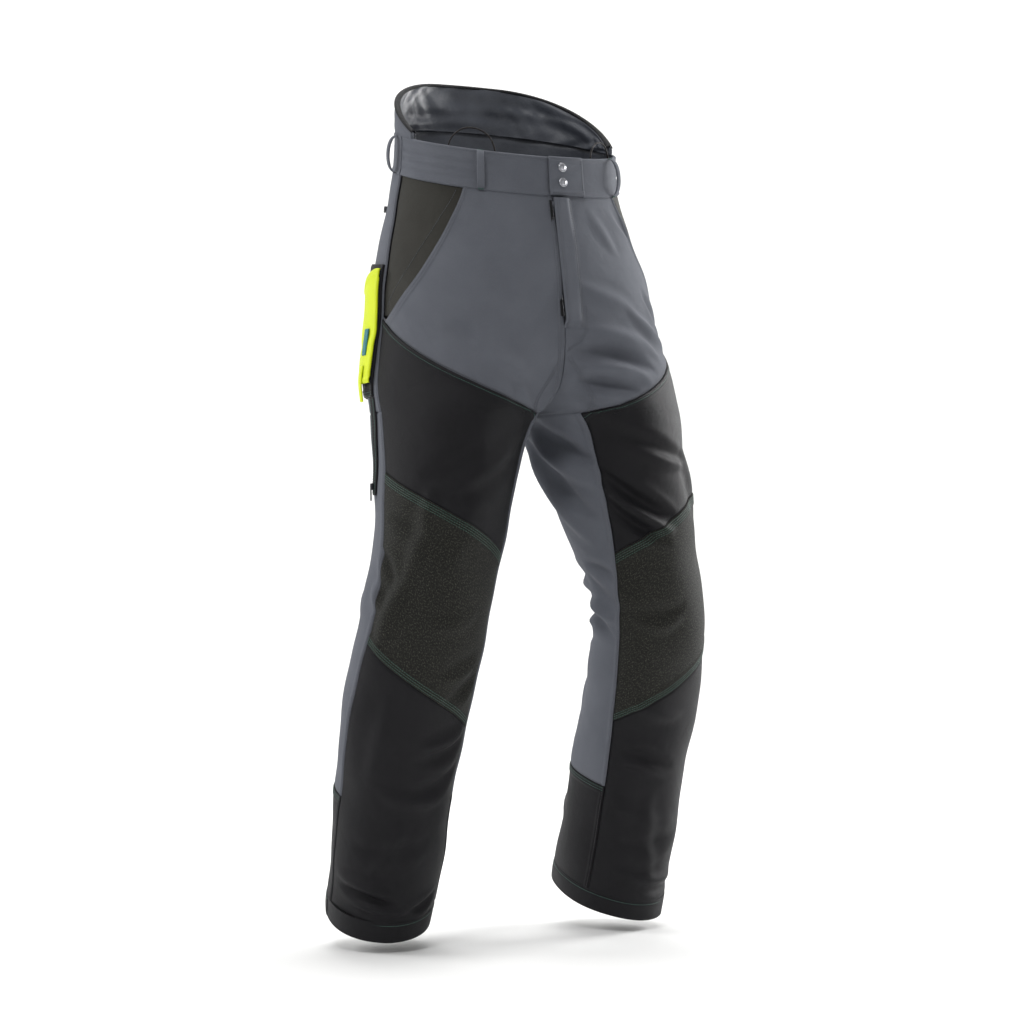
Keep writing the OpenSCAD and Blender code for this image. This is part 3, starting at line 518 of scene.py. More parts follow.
def joined(name, pieces):
    """Several like pieces as one mesh."""
    with bpy.context.temp_override(active_object=pieces[0], object=pieces[0], selected_objects=pieces,
                                   selected_editable_objects=pieces):
        bpy.ops.object.join()
    pieces[0].name = name
    return pieces[0]


# ---- materials ---------------------------------------------------------------------------------

def linear(code):
    """An sRGB hex colour as linear red, green, blue and 1."""
    channels = [int(code[i:i + 2], 16) / 255 for i in (1, 3, 5)]
    return tuple(c / 12.92 if c <= 0.04045 else ((c + 0.055) / 1.055)**2.4 for c in channels) + (1.0,)


def add(tree, kind, settings=None, **links):
    """Adds a node, sets its properties and sockets, and links sockets to other nodes' outputs."""
    node = tree.nodes.new(kind)
    for key, value in (settings or {}).items():
        if hasattr(node, key) and key not in node.inputs:
            setattr(node, key, value)
        else:
            node.inputs[key].default_value = value
    for key, source in links.items():
        tree.links.new(source, node.inputs[int(key[1:])] if key[0] == "i" and key[1:].isdigit()
                       else node.inputs[key.replace("_", " ")])
    return node


def cloth_material(name, colour, second, speck, thread_mm, roughness, sheen, relief, patch=0.35, shine=0.3, twill=False,
                   grain=900.0):
    """Woven or knitted cloth: crossed thread waves on the piece's own UV, soft colour patches, fine specks and painted
    shade between the threads.
    """
    m = bpy.data.materials.new(name)
    m.use_nodes = True
    tree = m.node_tree
    tree.nodes.clear()
    out = add(tree, "ShaderNodeOutputMaterial")
    shader = add(tree, "ShaderNodeBsdfPrincipled", {
        "Roughness": roughness, "Sheen Weight": sheen, "Sheen Roughness": 0.45, "Specular IOR Level": shine,
        "Sheen Tint": linear("#c9ccd2")})
    tree.links.new(shader.outputs[0], out.inputs[0])
    uv = add(tree, "ShaderNodeTexCoord").outputs["UV"]
    # One wave is one thread: the wave texture's scale of 1 has a period of about 0.314 m.
    scale = 0.314 / (thread_mm * MM)
    waves = []
    for turn in ((0.78, -0.78) if twill else (0.0, math.pi / 2)):
        place = add(tree, "ShaderNodeMapping", {"Rotation": (0, 0, turn)}, Vector=uv)
        waves.append(add(tree, "ShaderNodeTexWave", {"bands_direction": "X", "Scale": scale, "Distortion": 0.6,
                                                     "Detail": 1.0, "Detail Scale": 1.5}, Vector=place.outputs[0]))
    weave = add(tree, "ShaderNodeMath", {"operation": "MULTIPLY"}, i0=waves[0].outputs["Fac"], i1=waves[1].outputs["Fac"])
    fine = add(tree, "ShaderNodeTexNoise", {"Scale": grain, "Detail": 3.0, "Roughness": 0.6}, Vector=uv)
    broad = add(tree, "ShaderNodeTexNoise", {"Scale": 14.0, "Detail": 4.0, "Roughness": 0.55}, Vector=uv)
    patches = add(tree, "ShaderNodeMapRange", {"From Min": 0.35, "From Max": 0.65, "To Max": patch},
                  Value=broad.outputs["Fac"])
    base = add(tree, "ShaderNodeMix", {"data_type": "RGBA"}, Factor=patches.outputs[0])
    base.inputs[6].default_value, base.inputs[7].default_value = linear(colour), linear(second)
    dots = add(tree, "ShaderNodeMapRange", {"From Min": 0.5, "From Max": 0.72, "To Max": 0.75}, Value=fine.outputs["Fac"])
    speckled = add(tree, "ShaderNodeMix", {"data_type": "RGBA"}, Factor=dots.outputs[0])
    tree.links.new(base.outputs[2], speckled.inputs[6])
    speckled.inputs[7].default_value = linear(speck)
    # Painted shade: the valleys between threads are darker than their crowns, and a faint painted light lifts the
    # crowns.
    depth = add(tree, "ShaderNodeMapRange", {"To Min": 0.80, "To Max": 1.06}, Value=weave.outputs[0])
    shaded = add(tree, "ShaderNodeMix", {"data_type": "RGBA", "blend_type": "MULTIPLY"})
    shaded.inputs[0].default_value = 1.0
    tree.links.new(speckled.outputs[2], shaded.inputs[6])
    tree.links.new(depth.outputs[0], shaded.inputs[7])
    tree.links.new(shaded.outputs[2], shader.inputs["Base Color"])
    height = add(tree, "ShaderNodeMath", {"operation": "MULTIPLY_ADD"}, i0=fine.outputs["Fac"], i2=weave.outputs[0])
    height.inputs[1].default_value = 0.5
    creases = add(tree, "ShaderNodeTexNoise", {"Scale": 38.0, "Detail": 3.0, "Distortion": 0.8}, Vector=uv)
    bump = add(tree, "ShaderNodeBump", {"Strength": relief, "Distance": 0.0005}, Height=height.outputs[0])
    soft = add(tree, "ShaderNodeBump", {"Strength": 0.25, "Distance": 0.004}, Height=creases.outputs["Fac"])
    tree.links.new(soft.outputs[0], bump.inputs["Normal"])
    tree.links.new(bump.outputs[0], shader.inputs["Normal"])
    return m


def metal_material(name, colour, dark, roughness, grain_mm=0.6):
    """Plated or painted metal: rubbed brighter on a fine scratch grain, dull in its stains."""
    m = bpy.data.materials.new(name)
    m.use_nodes = True
    tree = m.node_tree
    tree.nodes.clear()
    out = add(tree, "ShaderNodeOutputMaterial")
    shader = add(tree, "ShaderNodeBsdfPrincipled", {"Metallic": 1.0})
    tree.links.new(shader.outputs[0], out.inputs[0])
    place = add(tree, "ShaderNodeTexCoord").outputs["Object"]
    grain = add(tree, "ShaderNodeTexNoise", {"Scale": 1 / (grain_mm * MM), "Detail": 4.0, "Roughness": 0.7}, Vector=place)
    stain = add(tree, "ShaderNodeTexNoise", {"Scale": 220.0, "Detail": 3.0}, Vector=place)
    tone = add(tree, "ShaderNodeMapRange", {"From Min": 0.4, "From Max": 0.7}, Value=stain.outputs["Fac"])
    base = add(tree, "ShaderNodeMix", {"data_type": "RGBA"}, Factor=tone.outputs[0])
    base.inputs[6].default_value, base.inputs[7].default_value = linear(colour), linear(dark)
    tree.links.new(base.outputs[2], shader.inputs["Base Color"])
    rough = add(tree, "ShaderNodeMapRange", {"To Min": roughness * 0.75, "To Max": roughness * 1.4},
                Value=grain.outputs["Fac"])
    tree.links.new(rough.outputs[0], shader.inputs["Roughness"])
    bump = add(tree, "ShaderNodeBump", {"Strength": 0.15, "Distance": 0.0001}, Height=grain.outputs["Fac"])
    tree.links.new(bump.outputs[0], shader.inputs["Normal"])
    return m


def thread_material(name, colour, second):
    """Polyester sewing thread: a fine twist along a smooth strand with a little gloss."""
    m = bpy.data.materials.new(name)
    m.use_nodes = True
    tree = m.node_tree
    tree.nodes.clear()
    out = add(tree, "ShaderNodeOutputMaterial")
    shader = add(tree, "ShaderNodeBsdfPrincipled", {"Roughness": 0.5, "Sheen Weight": 0.2})
    tree.links.new(shader.outputs[0], out.inputs[0])
    place = add(tree, "ShaderNodeTexCoord").outputs["Object"]
    strand = add(tree, "ShaderNodeTexNoise", {"Scale": 700.0, "Detail": 2.0}, Vector=place)
    base = add(tree, "ShaderNodeMix", {"data_type": "RGBA"}, Factor=strand.outputs["Fac"])
    base.inputs[6].default_value, base.inputs[7].default_value = linear(colour), linear(second)
    tree.links.new(base.outputs[2], shader.inputs["Base Color"])
    bump = add(tree, "ShaderNodeBump", {"Strength": 0.3, "Distance": 0.0002}, Height=strand.outputs["Fac"])
    tree.links.new(bump.outputs[0], shader.inputs["Normal"])
    return m


# What each finish is and what that gives the eye.
FINISHES = {
    # Four-way stretch softshell: smooth, matt, a fine even knit face.
    "stretch softshell": lambda: cloth_material("stretch softshell", "#676a72", "#5b5e66", "#74777f", 0.9, 0.8, 0.05,
                                                0.45, 0.6, 0.2),
    # Polyamide face cloth over the cut pads: near black with a cool gloss at grazing light.
    "polyamide face cloth": lambda: cloth_material("polyamide face cloth", "#141317", "#0f0f12", "#1b1b20", 1.1, 0.6,
                                                   0.02, 0.5, 0.6, 0.22),
    # Textured high-abrasion polyamide on the knees: coarse plain weave with olive and grey specks.
    "abrasion polyamide": lambda: cloth_material("abrasion polyamide", "#1c1c19", "#141412", "#5a5a50", 1.6, 0.72,
                                                 0.06, 0.9, 0.5, 0.25, grain=480.0),
    # Brown-black polyamide twill behind the pocket mouths, a little creased.
    "facing twill": lambda: cloth_material("facing twill", "#33322d", "#27251f", "#403e38", 1.0, 0.7, 0.05, 0.5, 0.8,
                                           0.25, True),
    # Fluorescent yellow polyester: even, bright, slightly glossy weave.
    "fluorescent polyester": lambda: cloth_material("fluorescent polyester", "#e2f200", "#d2e400", "#eefa3c", 1.1,
                                                    0.55, 0.05, 0.4, 0.5, 0.3),
    # Woven damask tab in one plain teal.
    "woven tab": lambda: cloth_material("woven tab", "#2b7d86", "#23666f", "#3b929b", 0.8, 0.6, 0.1, 0.5),
    # Polyester satin lining: smooth and shiny, creased all over.
    "satin lining": lambda: cloth_material("satin lining", "#5a5e67", "#343841", "#686c76", 0.8, 0.36, 0.05, 0.2, 0.8,
                                           0.5, True),
    # Black mesh lining inside the panels.
    "mesh lining": lambda: cloth_material("mesh lining", "#1b1c1f", "#161719", "#242529", 1.8, 0.8, 0.1, 0.8),
    # Pocketing: plain black polyester-cotton.
    "pocketing": lambda: cloth_material("pocketing", "#151517", "#111113", "#1e1e21", 1.0, 0.8, 0.1, 0.4),
    # Warp-knitted cover of the cut pad, off-white.
    "pad knit": lambda: cloth_material("pad knit", "#c9c2ae", "#bbb39d", "#d8d2c0", 2.0, 0.85, 0.2, 0.8),
    # Zip tape: black herringbone.
    "zip tape": lambda: cloth_material("zip tape", "#101012", "#0d0d0e", "#19191b", 1.2, 0.7, 0.1, 0.6, 0.3, 0.3, True),
    # Elastic cord: dark brown braid over rubber.
    "elastic braid": lambda: cloth_material("elastic braid", "#1c1514", "#15100f", "#2c221f", 0.7, 0.65, 0.15, 0.9,
                                            0.3, 0.3, True),
    "nickel plate": lambda: metal_material("nickel plate", "#cfd0d6", "#a9abb2", 0.22),
    "dark zinc": lambda: metal_material("dark zinc", "#4c4d52", "#35363a", 0.35),
    "moulded tooth": lambda: metal_material("moulded tooth", "#2a2a2d", "#1c1c1f", 0.45),
    "green thread": lambda: thread_material("green thread", "#1c4a3e", "#2a5f51"),
    "grey thread": lambda: thread_material("grey thread", "#3a3c44", "#474a53"),
    "black thread": lambda: thread_material("black thread", "#17171a", "#242428"),
    "yellow thread": lambda: thread_material("yellow thread", "#c6d700", "#dbe92a"),
}
made_materials = {}


def material(finish):
    if finish not in made_materials:
        made_materials[finish] = FINISHES[finish]()
    return made_materials[finish]


# ---- what a user would change ------------------------------------------------------------------

class TrousersSizes(bpy.types.PropertyGroup):
    cloth_thickness: FloatProperty(name="Cloth thickness", description="Thickness of the outer cloth",
                                   default=0.0016, min=0.0008, max=0.002, subtype="DISTANCE", unit="LENGTH")
    fold_height: FloatProperty(name="Fold height", description="How strongly the cloth is folded",
                               default=1.6, min=0.0, max=1.8, subtype="FACTOR")
    stitch_pitch: FloatProperty(name="Stitch pitch", description="Distance from one stitch to the next",
                                default=0.0036, min=0.002, max=0.006, subtype="DISTANCE", unit="LENGTH")
    thread_width: FloatProperty(name="Thread width", description="Width of the sewing thread",
                                default=0.00085, min=0.0004, max=0.0014, subtype="DISTANCE", unit="LENGTH")
    cord_diameter: FloatProperty(name="Cord diameter", description="Diameter of the elastic waist cords",
                                 default=0.0024, min=0.002, max=0.003, subtype="DISTANCE", unit="LENGTH")


class TrousersStage(bpy.types.PropertyGroup):
    backdrop_colour: FloatVectorProperty(name="Backdrop", description="Colour of the floor and backdrop",
                                         default=linear("#f0f0ef")[:3], size=3, min=0, max=1, subtype="COLOR")
    key_power: FloatProperty(name="Key light", description="Power of the large front light", default=60.0, min=0,
                             unit="POWER")
    backdrop_power: FloatProperty(name="Backdrop light", description="Power of the light on the backdrop alone",
                                  default=130.0, min=0, unit="POWER")
    edge_power: FloatProperty(name="Edge light", description="Power of the light from the wearer's left",
                              default=80.0, min=0, unit="POWER")


def sizes():
    return bpy.context.scene.trousers_sizes


# ---- where the cuts lie ------------------------------------------------------------------------

HALF_GAP = 0.1
EDGE = 0.2 / 330
MIDDLE = 0.9995
# Seams across the front of a leg, as drops at the side and at the inner leg.
THIGH_SEAM, KNEE_TOP_SEAM, KNEE_LOW_SEAM = (252.0, CROTCH + 1), (461.0, 570.0), (683.0, 798.0)
HEM_SEAM = (HEM - HEM_BAND, HEM - HEM_BAND)
LAP_TWO, LAP_THREE, LAP_ONE = ("lap", (1.8, 7.2)), ("lap", (1.8, 4.8, 9.6)), ("lap", (2.0,))
LAP_LOW, TUCK, FLAT = ("lap", (2.2, 5.4, 9.2)), ("tuck", ()), ("flat", ())


def side_seam(drop):
    return section(drop)[..., SIDE_SEAM]


def inner_seam(drop):
    return section(drop)[..., INNER_SEAM]


def seam_drop(seam, round_place):
    """The drop of a slanted seam at a round place: straight from the side seam to the inner seam."""
    a, b = side_seam(np.array(seam[0])), inner_seam(np.array(seam[1]))
    return mix(seam[0], seam[1], np.clip((a - round_place) / (a - b), 0, 1))


def front_cut(side, top, low, edges, width=235.0):
    """The front of a leg between two slanted seams."""
    height = (low[0] + low[1] - top[0] - top[1]) / 2

    def places(k, f):
        inner = mix(top[1] + HALF_GAP, low[1] - HALF_GAP, k)
        outer = mix(top[0] + HALF_GAP, low[0] - HALF_GAP, k)
        return mix(inner, outer, f), mix(inner_seam(inner) + EDGE, side_seam(outer) - EDGE, f)
    return Cut(side, places, height, width, *edges)


def wrap_end(drop):
    """The round place past the inner leg where a back panel meets the inner seam in front."""
    i = inner_turn(section(drop))
    return (360 + inner_seam(drop) * (180 + i)) / (180 - i)


def back_cut(side, top, low, edges, width=330.0):
    """The back of a leg, from the side seam round the inner leg to the inner seam."""
    def places(k, f):
        drop = mix(top + HALF_GAP, low - HALF_GAP, k) + 0 * f
        return drop, mix(side_seam(drop) + EDGE, wrap_end(drop) - EDGE, f)
    return Cut(side, places, low - top, width, *edges)


def mouth_place(drop):
    """The hip pocket's mouth: a slant from the band down to the side seam."""
    slant = mix(-0.50, -0.03, np.clip((drop - BAND_H) / (250 - BAND_H), 0, 1)**1.15)
    return np.where(drop >= 250, side_seam(drop), slant)


def front_panel_cut(side):
    def places(k, f):
        top = BAND_H + HALF_GAP
        round_place = mix(-MIDDLE, mouth_place(mix(top, THIGH_SEAM[0], k)) - EDGE, f)
        return mix(top, seam_drop(THIGH_SEAM, round_place) - HALF_GAP, k), round_place
    return Cut(side, places, 270.0, 250.0, TUCK, TUCK, LAP_TWO if side == RIGHT else FLAT, LAP_TWO)


def seat_panel_cut(side):
    def places(k, f):
        drop = mix(BAND_H + HALF_GAP, CROTCH, k) + 0 * f
        return drop, mix(side_seam(drop) + EDGE, MIDDLE, f)
    return Cut(side, places, 330.0, 270.0, TUCK, FLAT, LAP_TWO, LAP_TWO if side == RIGHT else TUCK)


def patch_cut(side, d0, d1, u0, u1, width, edges, out, shape=None):
    """An even patch between two drops and two round places."""
    return Cut(side, lambda k, f: (mix(d0, d1, k) + 0 * f, mix(u0, u1, f) + 0 * k), d1 - d0, width, *edges,
               out=out, shape=shape)


def leg_body(side):
    return SIDE_NAME[side] + "_shin"


def bend_at_knee(obj):
    """Bakes a piece's transform into its mesh; nothing is turned at the knee."""
    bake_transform(obj)


def declare(obj, nodes, body=None, bends=None):
    """Hides the nodes a cloth piece replaces, then hangs it on its body, or bakes its transform when bends is given."""
    if nodes:
        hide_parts(*nodes)
    if bends is None:
        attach(obj, body)
    else:
        bend_at_knee(obj)
    return obj


def body_cloth(cut, name, slot, nodes, finish, long_side, lining="mesh lining", **more):
    """A cut as a piece of the trousers' body."""
    obj = cut.piece(name, finish, lining=lining, **more)
    return declare(obj, nodes, body="trousers")


# ---- seat, front and hip pockets ---------------------------------------------------------------

def facing_cut(side):
    def places(k, f):
        drop = mix(BAND_H + HALF_GAP, 249.0, k) + 0 * f
        inner = np.minimum(-0.14, mouth_place(drop) - 0.10)
        return drop, mix(inner, side_seam(drop) - EDGE, f)
    return Cut(side, places, 197.0, 95.0, FLAT, FLAT, FLAT, TUCK, out=-2.1)


class TROUSERS_OT_upper(bpy.types.Operator):
    """Make the front panels, the seat panels and the hip pockets"""
    bl_idname = "trousers.upper"
    bl_label = "Upper panels"
    bl_options = {"REGISTER", "UNDO"}

    def execute(self, context):
        for side in (RIGHT, LEFT):
            tag = SIDE_NAME[side]
            body_cloth(front_panel_cut(side), f"{tag}_front", "stretch_cloth", [f"front_panel_{tag}"],
                       "stretch softshell", 320)
            body_cloth(seat_panel_cut(side), f"{tag}_seat", "stretch_cloth", [f"seat_panel_{tag}"],
                       "stretch softshell", 330)
            body_cloth(facing_cut(side), f"{tag}_facing", "facing_cloth", [f"hip_pocket_facing_{tag}"],
                       "facing twill", 200, thickness=1.2)
            bag = patch_cut(side, 58, 315, -0.64, -0.10, 200, (FLAT, FLAT, FLAT, FLAT), -9.2)
            body_cloth(bag, f"{tag}_pocket_bag", "pocket_lining", [f"hip_pocket_bag_{tag}"], "pocketing", 257,
                       lining=None, thickness=1.0, step=7)
        return {"FINISHED"}


# ---- legs --------------------------------------------------------------------------------------

def thigh_cut(side):
    return front_cut(side, THIGH_SEAM, KNEE_TOP_SEAM, (("lap", (6.4,)), TUCK, TUCK, FLAT))


def knee_cut(side):
    edges = ("lap", (2.6, 5.8, 9.0, 12.2)), ("lap", (2.6, 5.6, 8.6)), TUCK, FLAT
    return front_cut(side, KNEE_TOP_SEAM, KNEE_LOW_SEAM, edges)


def shin_cut(side):
    return front_cut(side, KNEE_LOW_SEAM, HEM_SEAM, (TUCK, TUCK, TUCK, FLAT), 205.0)


def back_leg_cut(side):
    return back_cut(side, CROTCH, GAITER, (TUCK, TUCK, ("lap", (2.0,)), ("lap", (2.0,))))


def gaiter_cut(side):
    return back_cut(side, GAITER, HEM - HEM_BAND, (("lap", (2.2, 5.6)), TUCK, ("lap", (2.0,)), ("lap", (2.0,))), 320.0)


def pad_cut(side):
    """The cut pad hangs behind the front panels from the thigh seam to below the knee."""
    cut = front_cut(side, THIGH_SEAM, (900, 950), (FLAT, FLAT, FLAT, FLAT), 220.0)
    cut.out = -3.4
    return cut


def hem_ring(side, out, k, turn):
    """The hem at fraction k of its height, turn degrees round from the side."""
    drop = mix(HEM - HEM_BAND - 3, HEM, k)
    return cloth(side, drop, turn / (180 - inner_turn(section(drop))), out)


class TROUSERS_OT_legs(bpy.types.Operator):
    """Make the panels, cut pads, gaiters and hems of both legs"""
    bl_idname = "trousers.legs"
    bl_label = "Legs"
    bl_options = {"REGISTER", "UNDO"}

    def execute(self, context):
        for side in (RIGHT, LEFT):
            tag = SIDE_NAME[side]
            front = ((thigh_cut, "thigh", "face_cloth", "polyamide face cloth", ["thigh_panel"], 300),
                     (knee_cut, "knee", "knee_cloth", "abrasion polyamide", ["knee_patch"], 240),
                     (shin_cut, "shin", "face_cloth", "polyamide face cloth", ["shin_panel"], 310),
                     (back_leg_cut, "back_leg", "stretch_cloth", "stretch softshell",
                      ["back_thigh_panel", "back_knee_panel", "back_calf_panel"], 510))
            for cut, name, slot, finish, nodes, long_side in front:
                obj = cut(side).piece(f"{tag}_{name}", finish, lining="mesh lining")
                declare(obj, [f"{n}_{tag}" for n in nodes], bends=side)
            pad = pad_cut(side).piece(f"{tag}_cut_pad", "pad knit", thickness=3.4, step=6)
            declare(pad, [f"cut_pad_{tag}"], bends=side)
            gaiter = gaiter_cut(side).piece(f"{tag}_gaiter", "polyamide face cloth", lining="mesh lining")
            declare(gaiter, [f"gaiter_panel_{tag}"], body=leg_body(side))
            k, turn = np.meshgrid(stops(24, 2.0), np.arange(0, 360, 2.0), indexing="ij")
            roll = 0.9 * np.sin(math.pi * k)**0.4 - 0.45 * np.exp(-((k - 0.16) * 24 / 0.9)**2)
            wave = 0.35 * np.sin(np.radians(turn) * 9 + side) * np.sin(math.pi * k)
            hem = shell(f"{tag}_hem", hem_ring(side, roll + wave, k, turn), hem_ring(side, -2.2, k, turn),
                        "polyamide face cloth", ring=True)
            declare(hem, [f"hem_band_{tag}"], body=leg_body(side))
        return {"FINISHED"}


# ---- waist -------------------------------------------------------------------------------------

def piping(k):
    """The light piping along both edges of the band, over its own height, in mm."""
    d = np.minimum(k, 1 - k) * BAND_H
    return 1.0 * np.exp(-((d - 2.2) / 1.7)**4) - 0.5 * np.exp(-((d - 5.0) / 0.7)**2)


def band_cut(side, u0, u1, width, pucker):
    """Part of the waistband. Its puckers slant down from the front, deeper towards the middle."""
    def shape(k, f):
        fade = ease((f - 0.3) / 0.25) * ease((1 - f) / 0.03)
        bend = pucker * fade * sum(depth * np.exp(-((k - k0 + slope * (f - 0.7)) / 0.05)**2) for k0, slope, depth in
                                   ((0.34, 0.06, 1.7), (0.56, 0.12, 1.5), (0.76, -0.10, 1.1)))
        return piping(k) - bend + 0.25 * np.sin(f * width / 9) * np.sin(math.pi * k)
    return Cut(side, lambda k, f: (mix(0.2, BAND_H + 2.0, k) + 0 * f, mix(u0, u1, f) + 0 * k), 51.0, width,
               FLAT, FLAT, FLAT, FLAT, out=0.5, shape=shape)


def round_back(w, out):
    """A point out mm from the top edge of the waist, from the left side (0) round the back to the right (2)."""
    u = np.where(w <= 1, w, 2 - w)
    p = bare(np.zeros_like(w), u) + out[..., None] * outward(np.zeros_like(w), u)
    return p * np.stack([np.where(w <= 1, 1, -1), np.ones_like(w), np.ones_like(w)], -1)


def raised_height(w):
    return 62 * np.sin(math.pi / 2 * np.minimum(1, np.minimum(w, 2 - w) + 0.2))


def raised(w, k, out):
    """A point of the raised back at fraction k of its height, in metres."""
    up = mix(-1.5, raised_height(w), k)
    return (round_back(w, out + 0 * w) + np.stack([0 * w, 0 * w, up], -1)) * MM


RAISED_ENDS = (-0.12, 2.12)
LOOPS = ((RIGHT, -0.60), (LEFT, -0.50), (RIGHT, 0.08), (LEFT, 0.12), (RIGHT, 0.62), (LEFT, 0.62))
LOOP_WIDE, LOOP_GAP, LOOP_T = 13.0, 12.0, 2.0


def loop_point(side, place, a, across, out):
    """A point of a belt loop: it bows out between its feet; across runs from -1 to 1 over its width."""
    drop = mix(1, BAND_H + 2, (1 - np.cos(a)) / 2)
    place = place + across * LOOP_WIDE / 2 / 330
    lift = 1.4 + np.maximum(0, LOOP_GAP * np.sin(a) + out)
    return (bare(drop, place) + lift[..., None] * outward(drop, place)) * np.array([side, 1, 1]) * MM


# Routes of the cords, in mm: out of the band's inside, over its top in an arch and in again.
CORDS = {
    RIGHT: ((-128, -67, -30), (-128, -67, -18), (-124, -71, -6), (-115, -79, 3), (-104, -87, 5), (-92, -94, 1),
            (-82, -100, -9), (-76, -102, -24), (-75.5, -102, -36)),
    LEFT: ((76.5, -101, -38), (76.5, -101, -26), (80, -99, -14), (89, -94, -5), (100, -88, -2), (111, -81, -4),
           (119, -75, -11), (122, -73, -20), (122, -73, -31))}


class TROUSERS_OT_waist(bpy.types.Operator):
    """Make the waistband, raised back, belt loops, tab, studs and cords"""
    bl_idname = "trousers.waist"
    bl_label = "Waist"
    bl_options = {"REGISTER", "UNDO"}

    def execute(self, context):
        bands = ((RIGHT, -1.07, -0.004, 262, 1.5, "band_front_right", ["waistband_front_right"]),
                 (LEFT, -0.80, -0.004, 196, 1.0, "band_front_left", ["waistband_front_left"]))
        for side, u0, u1, width, pucker, name, nodes in bands:
            body_cloth(band_cut(side, u0, u1, width, pucker), name, "stretch_cloth", nodes, "stretch softshell",
                       width, lining="satin lining", thickness=2.8, step=2.6)
        w, d = np.meshgrid(np.linspace(0.004, 1.996, 210), stops(51, 3), indexing="xy")
        u = np.where(w <= 1, w, 2 - w)
        sides = np.stack([np.where(w <= 1, 1, -1), np.ones_like(w), np.ones_like(w)], -1)
        lift = 0.5 + piping(d) + 0.3 * np.sin(w * 34) * np.sin(math.pi * d)

        def back_band(out):
            drop = mix(0.2, BAND_H + 2.0, d)
            return (bare(drop, u) + out[..., None] * outward(drop, u)) * sides * MM
        obj = shell("band_back", back_band(lift), back_band(lift - 2.8), "stretch softshell", "satin lining")
        declare(obj, ["waistband_back"], body="trousers")

        k, w = np.meshgrid(stops(60, 3), np.linspace(*RAISED_ENDS, 230), indexing="ij")
        ribs = 0.5 * np.sin(k * 60 / 6 * 2 * math.pi)**2 * np.sin(math.pi * k)
        puff = 1.1 * np.sin(math.pi * k)**0.6 + 0.5 * np.sin(w * 21) * np.sin(math.pi * k) + ribs
        obj = shell("raised_back", raised(w, k, puff), raised(w, k, puff * 0 - 3.6), "stretch softshell")
        declare(obj, ["raised_back_panel"], body="trousers")
        crumple = (1.7 * np.sin(w * 15 + 5 * np.sin(k * 3 + w * 2)) * np.sin(k * 5 + w * 7)
                   + 0.8 * np.sin(w * 31 - k * 8 + 3 * np.sin(w * 9)) * np.sin(math.pi * k))
        obj = shell("raised_lining", raised(w, k, crumple - 5.2), raised(w, k, crumple - 6.2), "satin lining")
        declare(obj, ["raised_back_lining"], body="trousers")
        a, w = np.meshgrid(np.linspace(-0.35, math.pi + 0.35, 15), np.linspace(*RAISED_ENDS, 230), indexing="ij")

        def bound(radius):
            out = radius * np.cos(a) - 2.9
            return raised(w, 1 + 0 * a, out) + np.stack([0 * a, 0 * a, (radius * np.sin(a) * 0.8 + 0.6) * MM], -1)
        obj = shell("raised_binding", bound(4.4), bound(3.5), "polyamide face cloth")
        declare(obj, ["raised_back_binding"], body="trousers")

        loops = []
        a, across = np.meshgrid(np.linspace(0, math.pi, 41), np.array([-1, -0.93, -0.8, -0.62, -0.3, 0, 0.3, 0.62, 0.8,
                                                                       0.93, 1.0]), indexing="ij")
        rounded = LOOP_T * (1 - np.cos(a)**8) - 0.9 * np.abs(across)**7
        rounded = rounded - 0.3 * np.exp(-((np.abs(across) - 0.62) / 0.1)**2)
        for i, (side, place) in enumerate(LOOPS):
            outer = loop_point(side, place, a, across, rounded)
            inner = loop_point(side, place, mix(0.24, math.pi - 0.24, a / math.pi), across, -0.9 + 0 * a)
            loops.append(shell(f"belt_loop_{i}", outer, inner, "stretch softshell"))
        obj = joined("belt_loops_cloth", loops)
        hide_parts("belt_loops")
        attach(obj, "trousers")

        def tab_shape(k, f):
            return 0.7 * np.sin(math.pi * k)**0.5 - 0.8 * np.exp(-((k * 0.5 + f * 0.4 - 0.42) / 0.05)**2)
        tab = patch_cut(LEFT, 0.5, BAND_H + 1.5, -1.02, -0.80, 58, (("lap", (2.4,)), ("lap", (2.4,)), FLAT, FLAT), 5.6,
                        tab_shape)
        obj = tab.piece("waist_tab_cloth", "stretch softshell", thickness=2.4, step=1.6)
        declare(obj, ["waist_tab"], body="waist_tab")
        obj = beads("tab_stitches", [tab.row(e, 3.4, "grey thread", 0.06, 0.94) for e in ("top", "low", "second")])
        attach(obj, "waist_tab")

        caps = []
        for drop in (15.0, 35.0):
            place, n = bare(np.array(drop), np.array(-0.945)), outward(np.array(drop), np.array(-0.945))
            profile = [(0, 2.9), (1.5, 2.85), (3.0, 2.6), (4.2, 2.0), (4.7, 1.75), (5.1, 1.9), (5.7, 2.0), (6.2, 1.75),
                       (6.5, 1.2), (6.55, 0.5), (6.2, 0), (0, 0)]
            caps.append(revolve(f"stud_{drop:.0f}", np.array(profile) * MM, (place + 6.9 * n) * MM, n, "nickel plate"))
        obj = joined("stud_cap_shells", caps)
        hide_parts("stud_caps")
        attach(obj, "waist_tab")

        for side in (RIGHT, LEFT):
            tag = SIDE_NAME[side]
            path = smooth_route(CORDS[side]) * MM
            obj = tube(f"waist_cord_{tag}_braid", path, sizes().cord_diameter / 2, "elastic braid")
            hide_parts(f"waist_cord_{tag}")
            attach(obj, "trousers")
        return {"FINISHED"}


# ---- fly ---------------------------------------------------------------------------------------

FLY_TOP, FLY_LOW = 56.0, 262.0
ZIP_TOP, ZIP_LOW = np.array([0, -130.671, -91.403]), np.array([0, -162.831, -250.448])


def fly_point(x, drop, out):
    """A point of the folded front x mm beside the middle, out mm in front of it, in mm."""
    p = np.where((x >= 0)[..., None], cloth(LEFT, drop, -1 + np.abs(x) / 300) / MM,
                 cloth(RIGHT, drop, -1 + np.abs(x) / 300) / MM)
    return np.stack([x, p[..., 1] - out, p[..., 2]], -1)


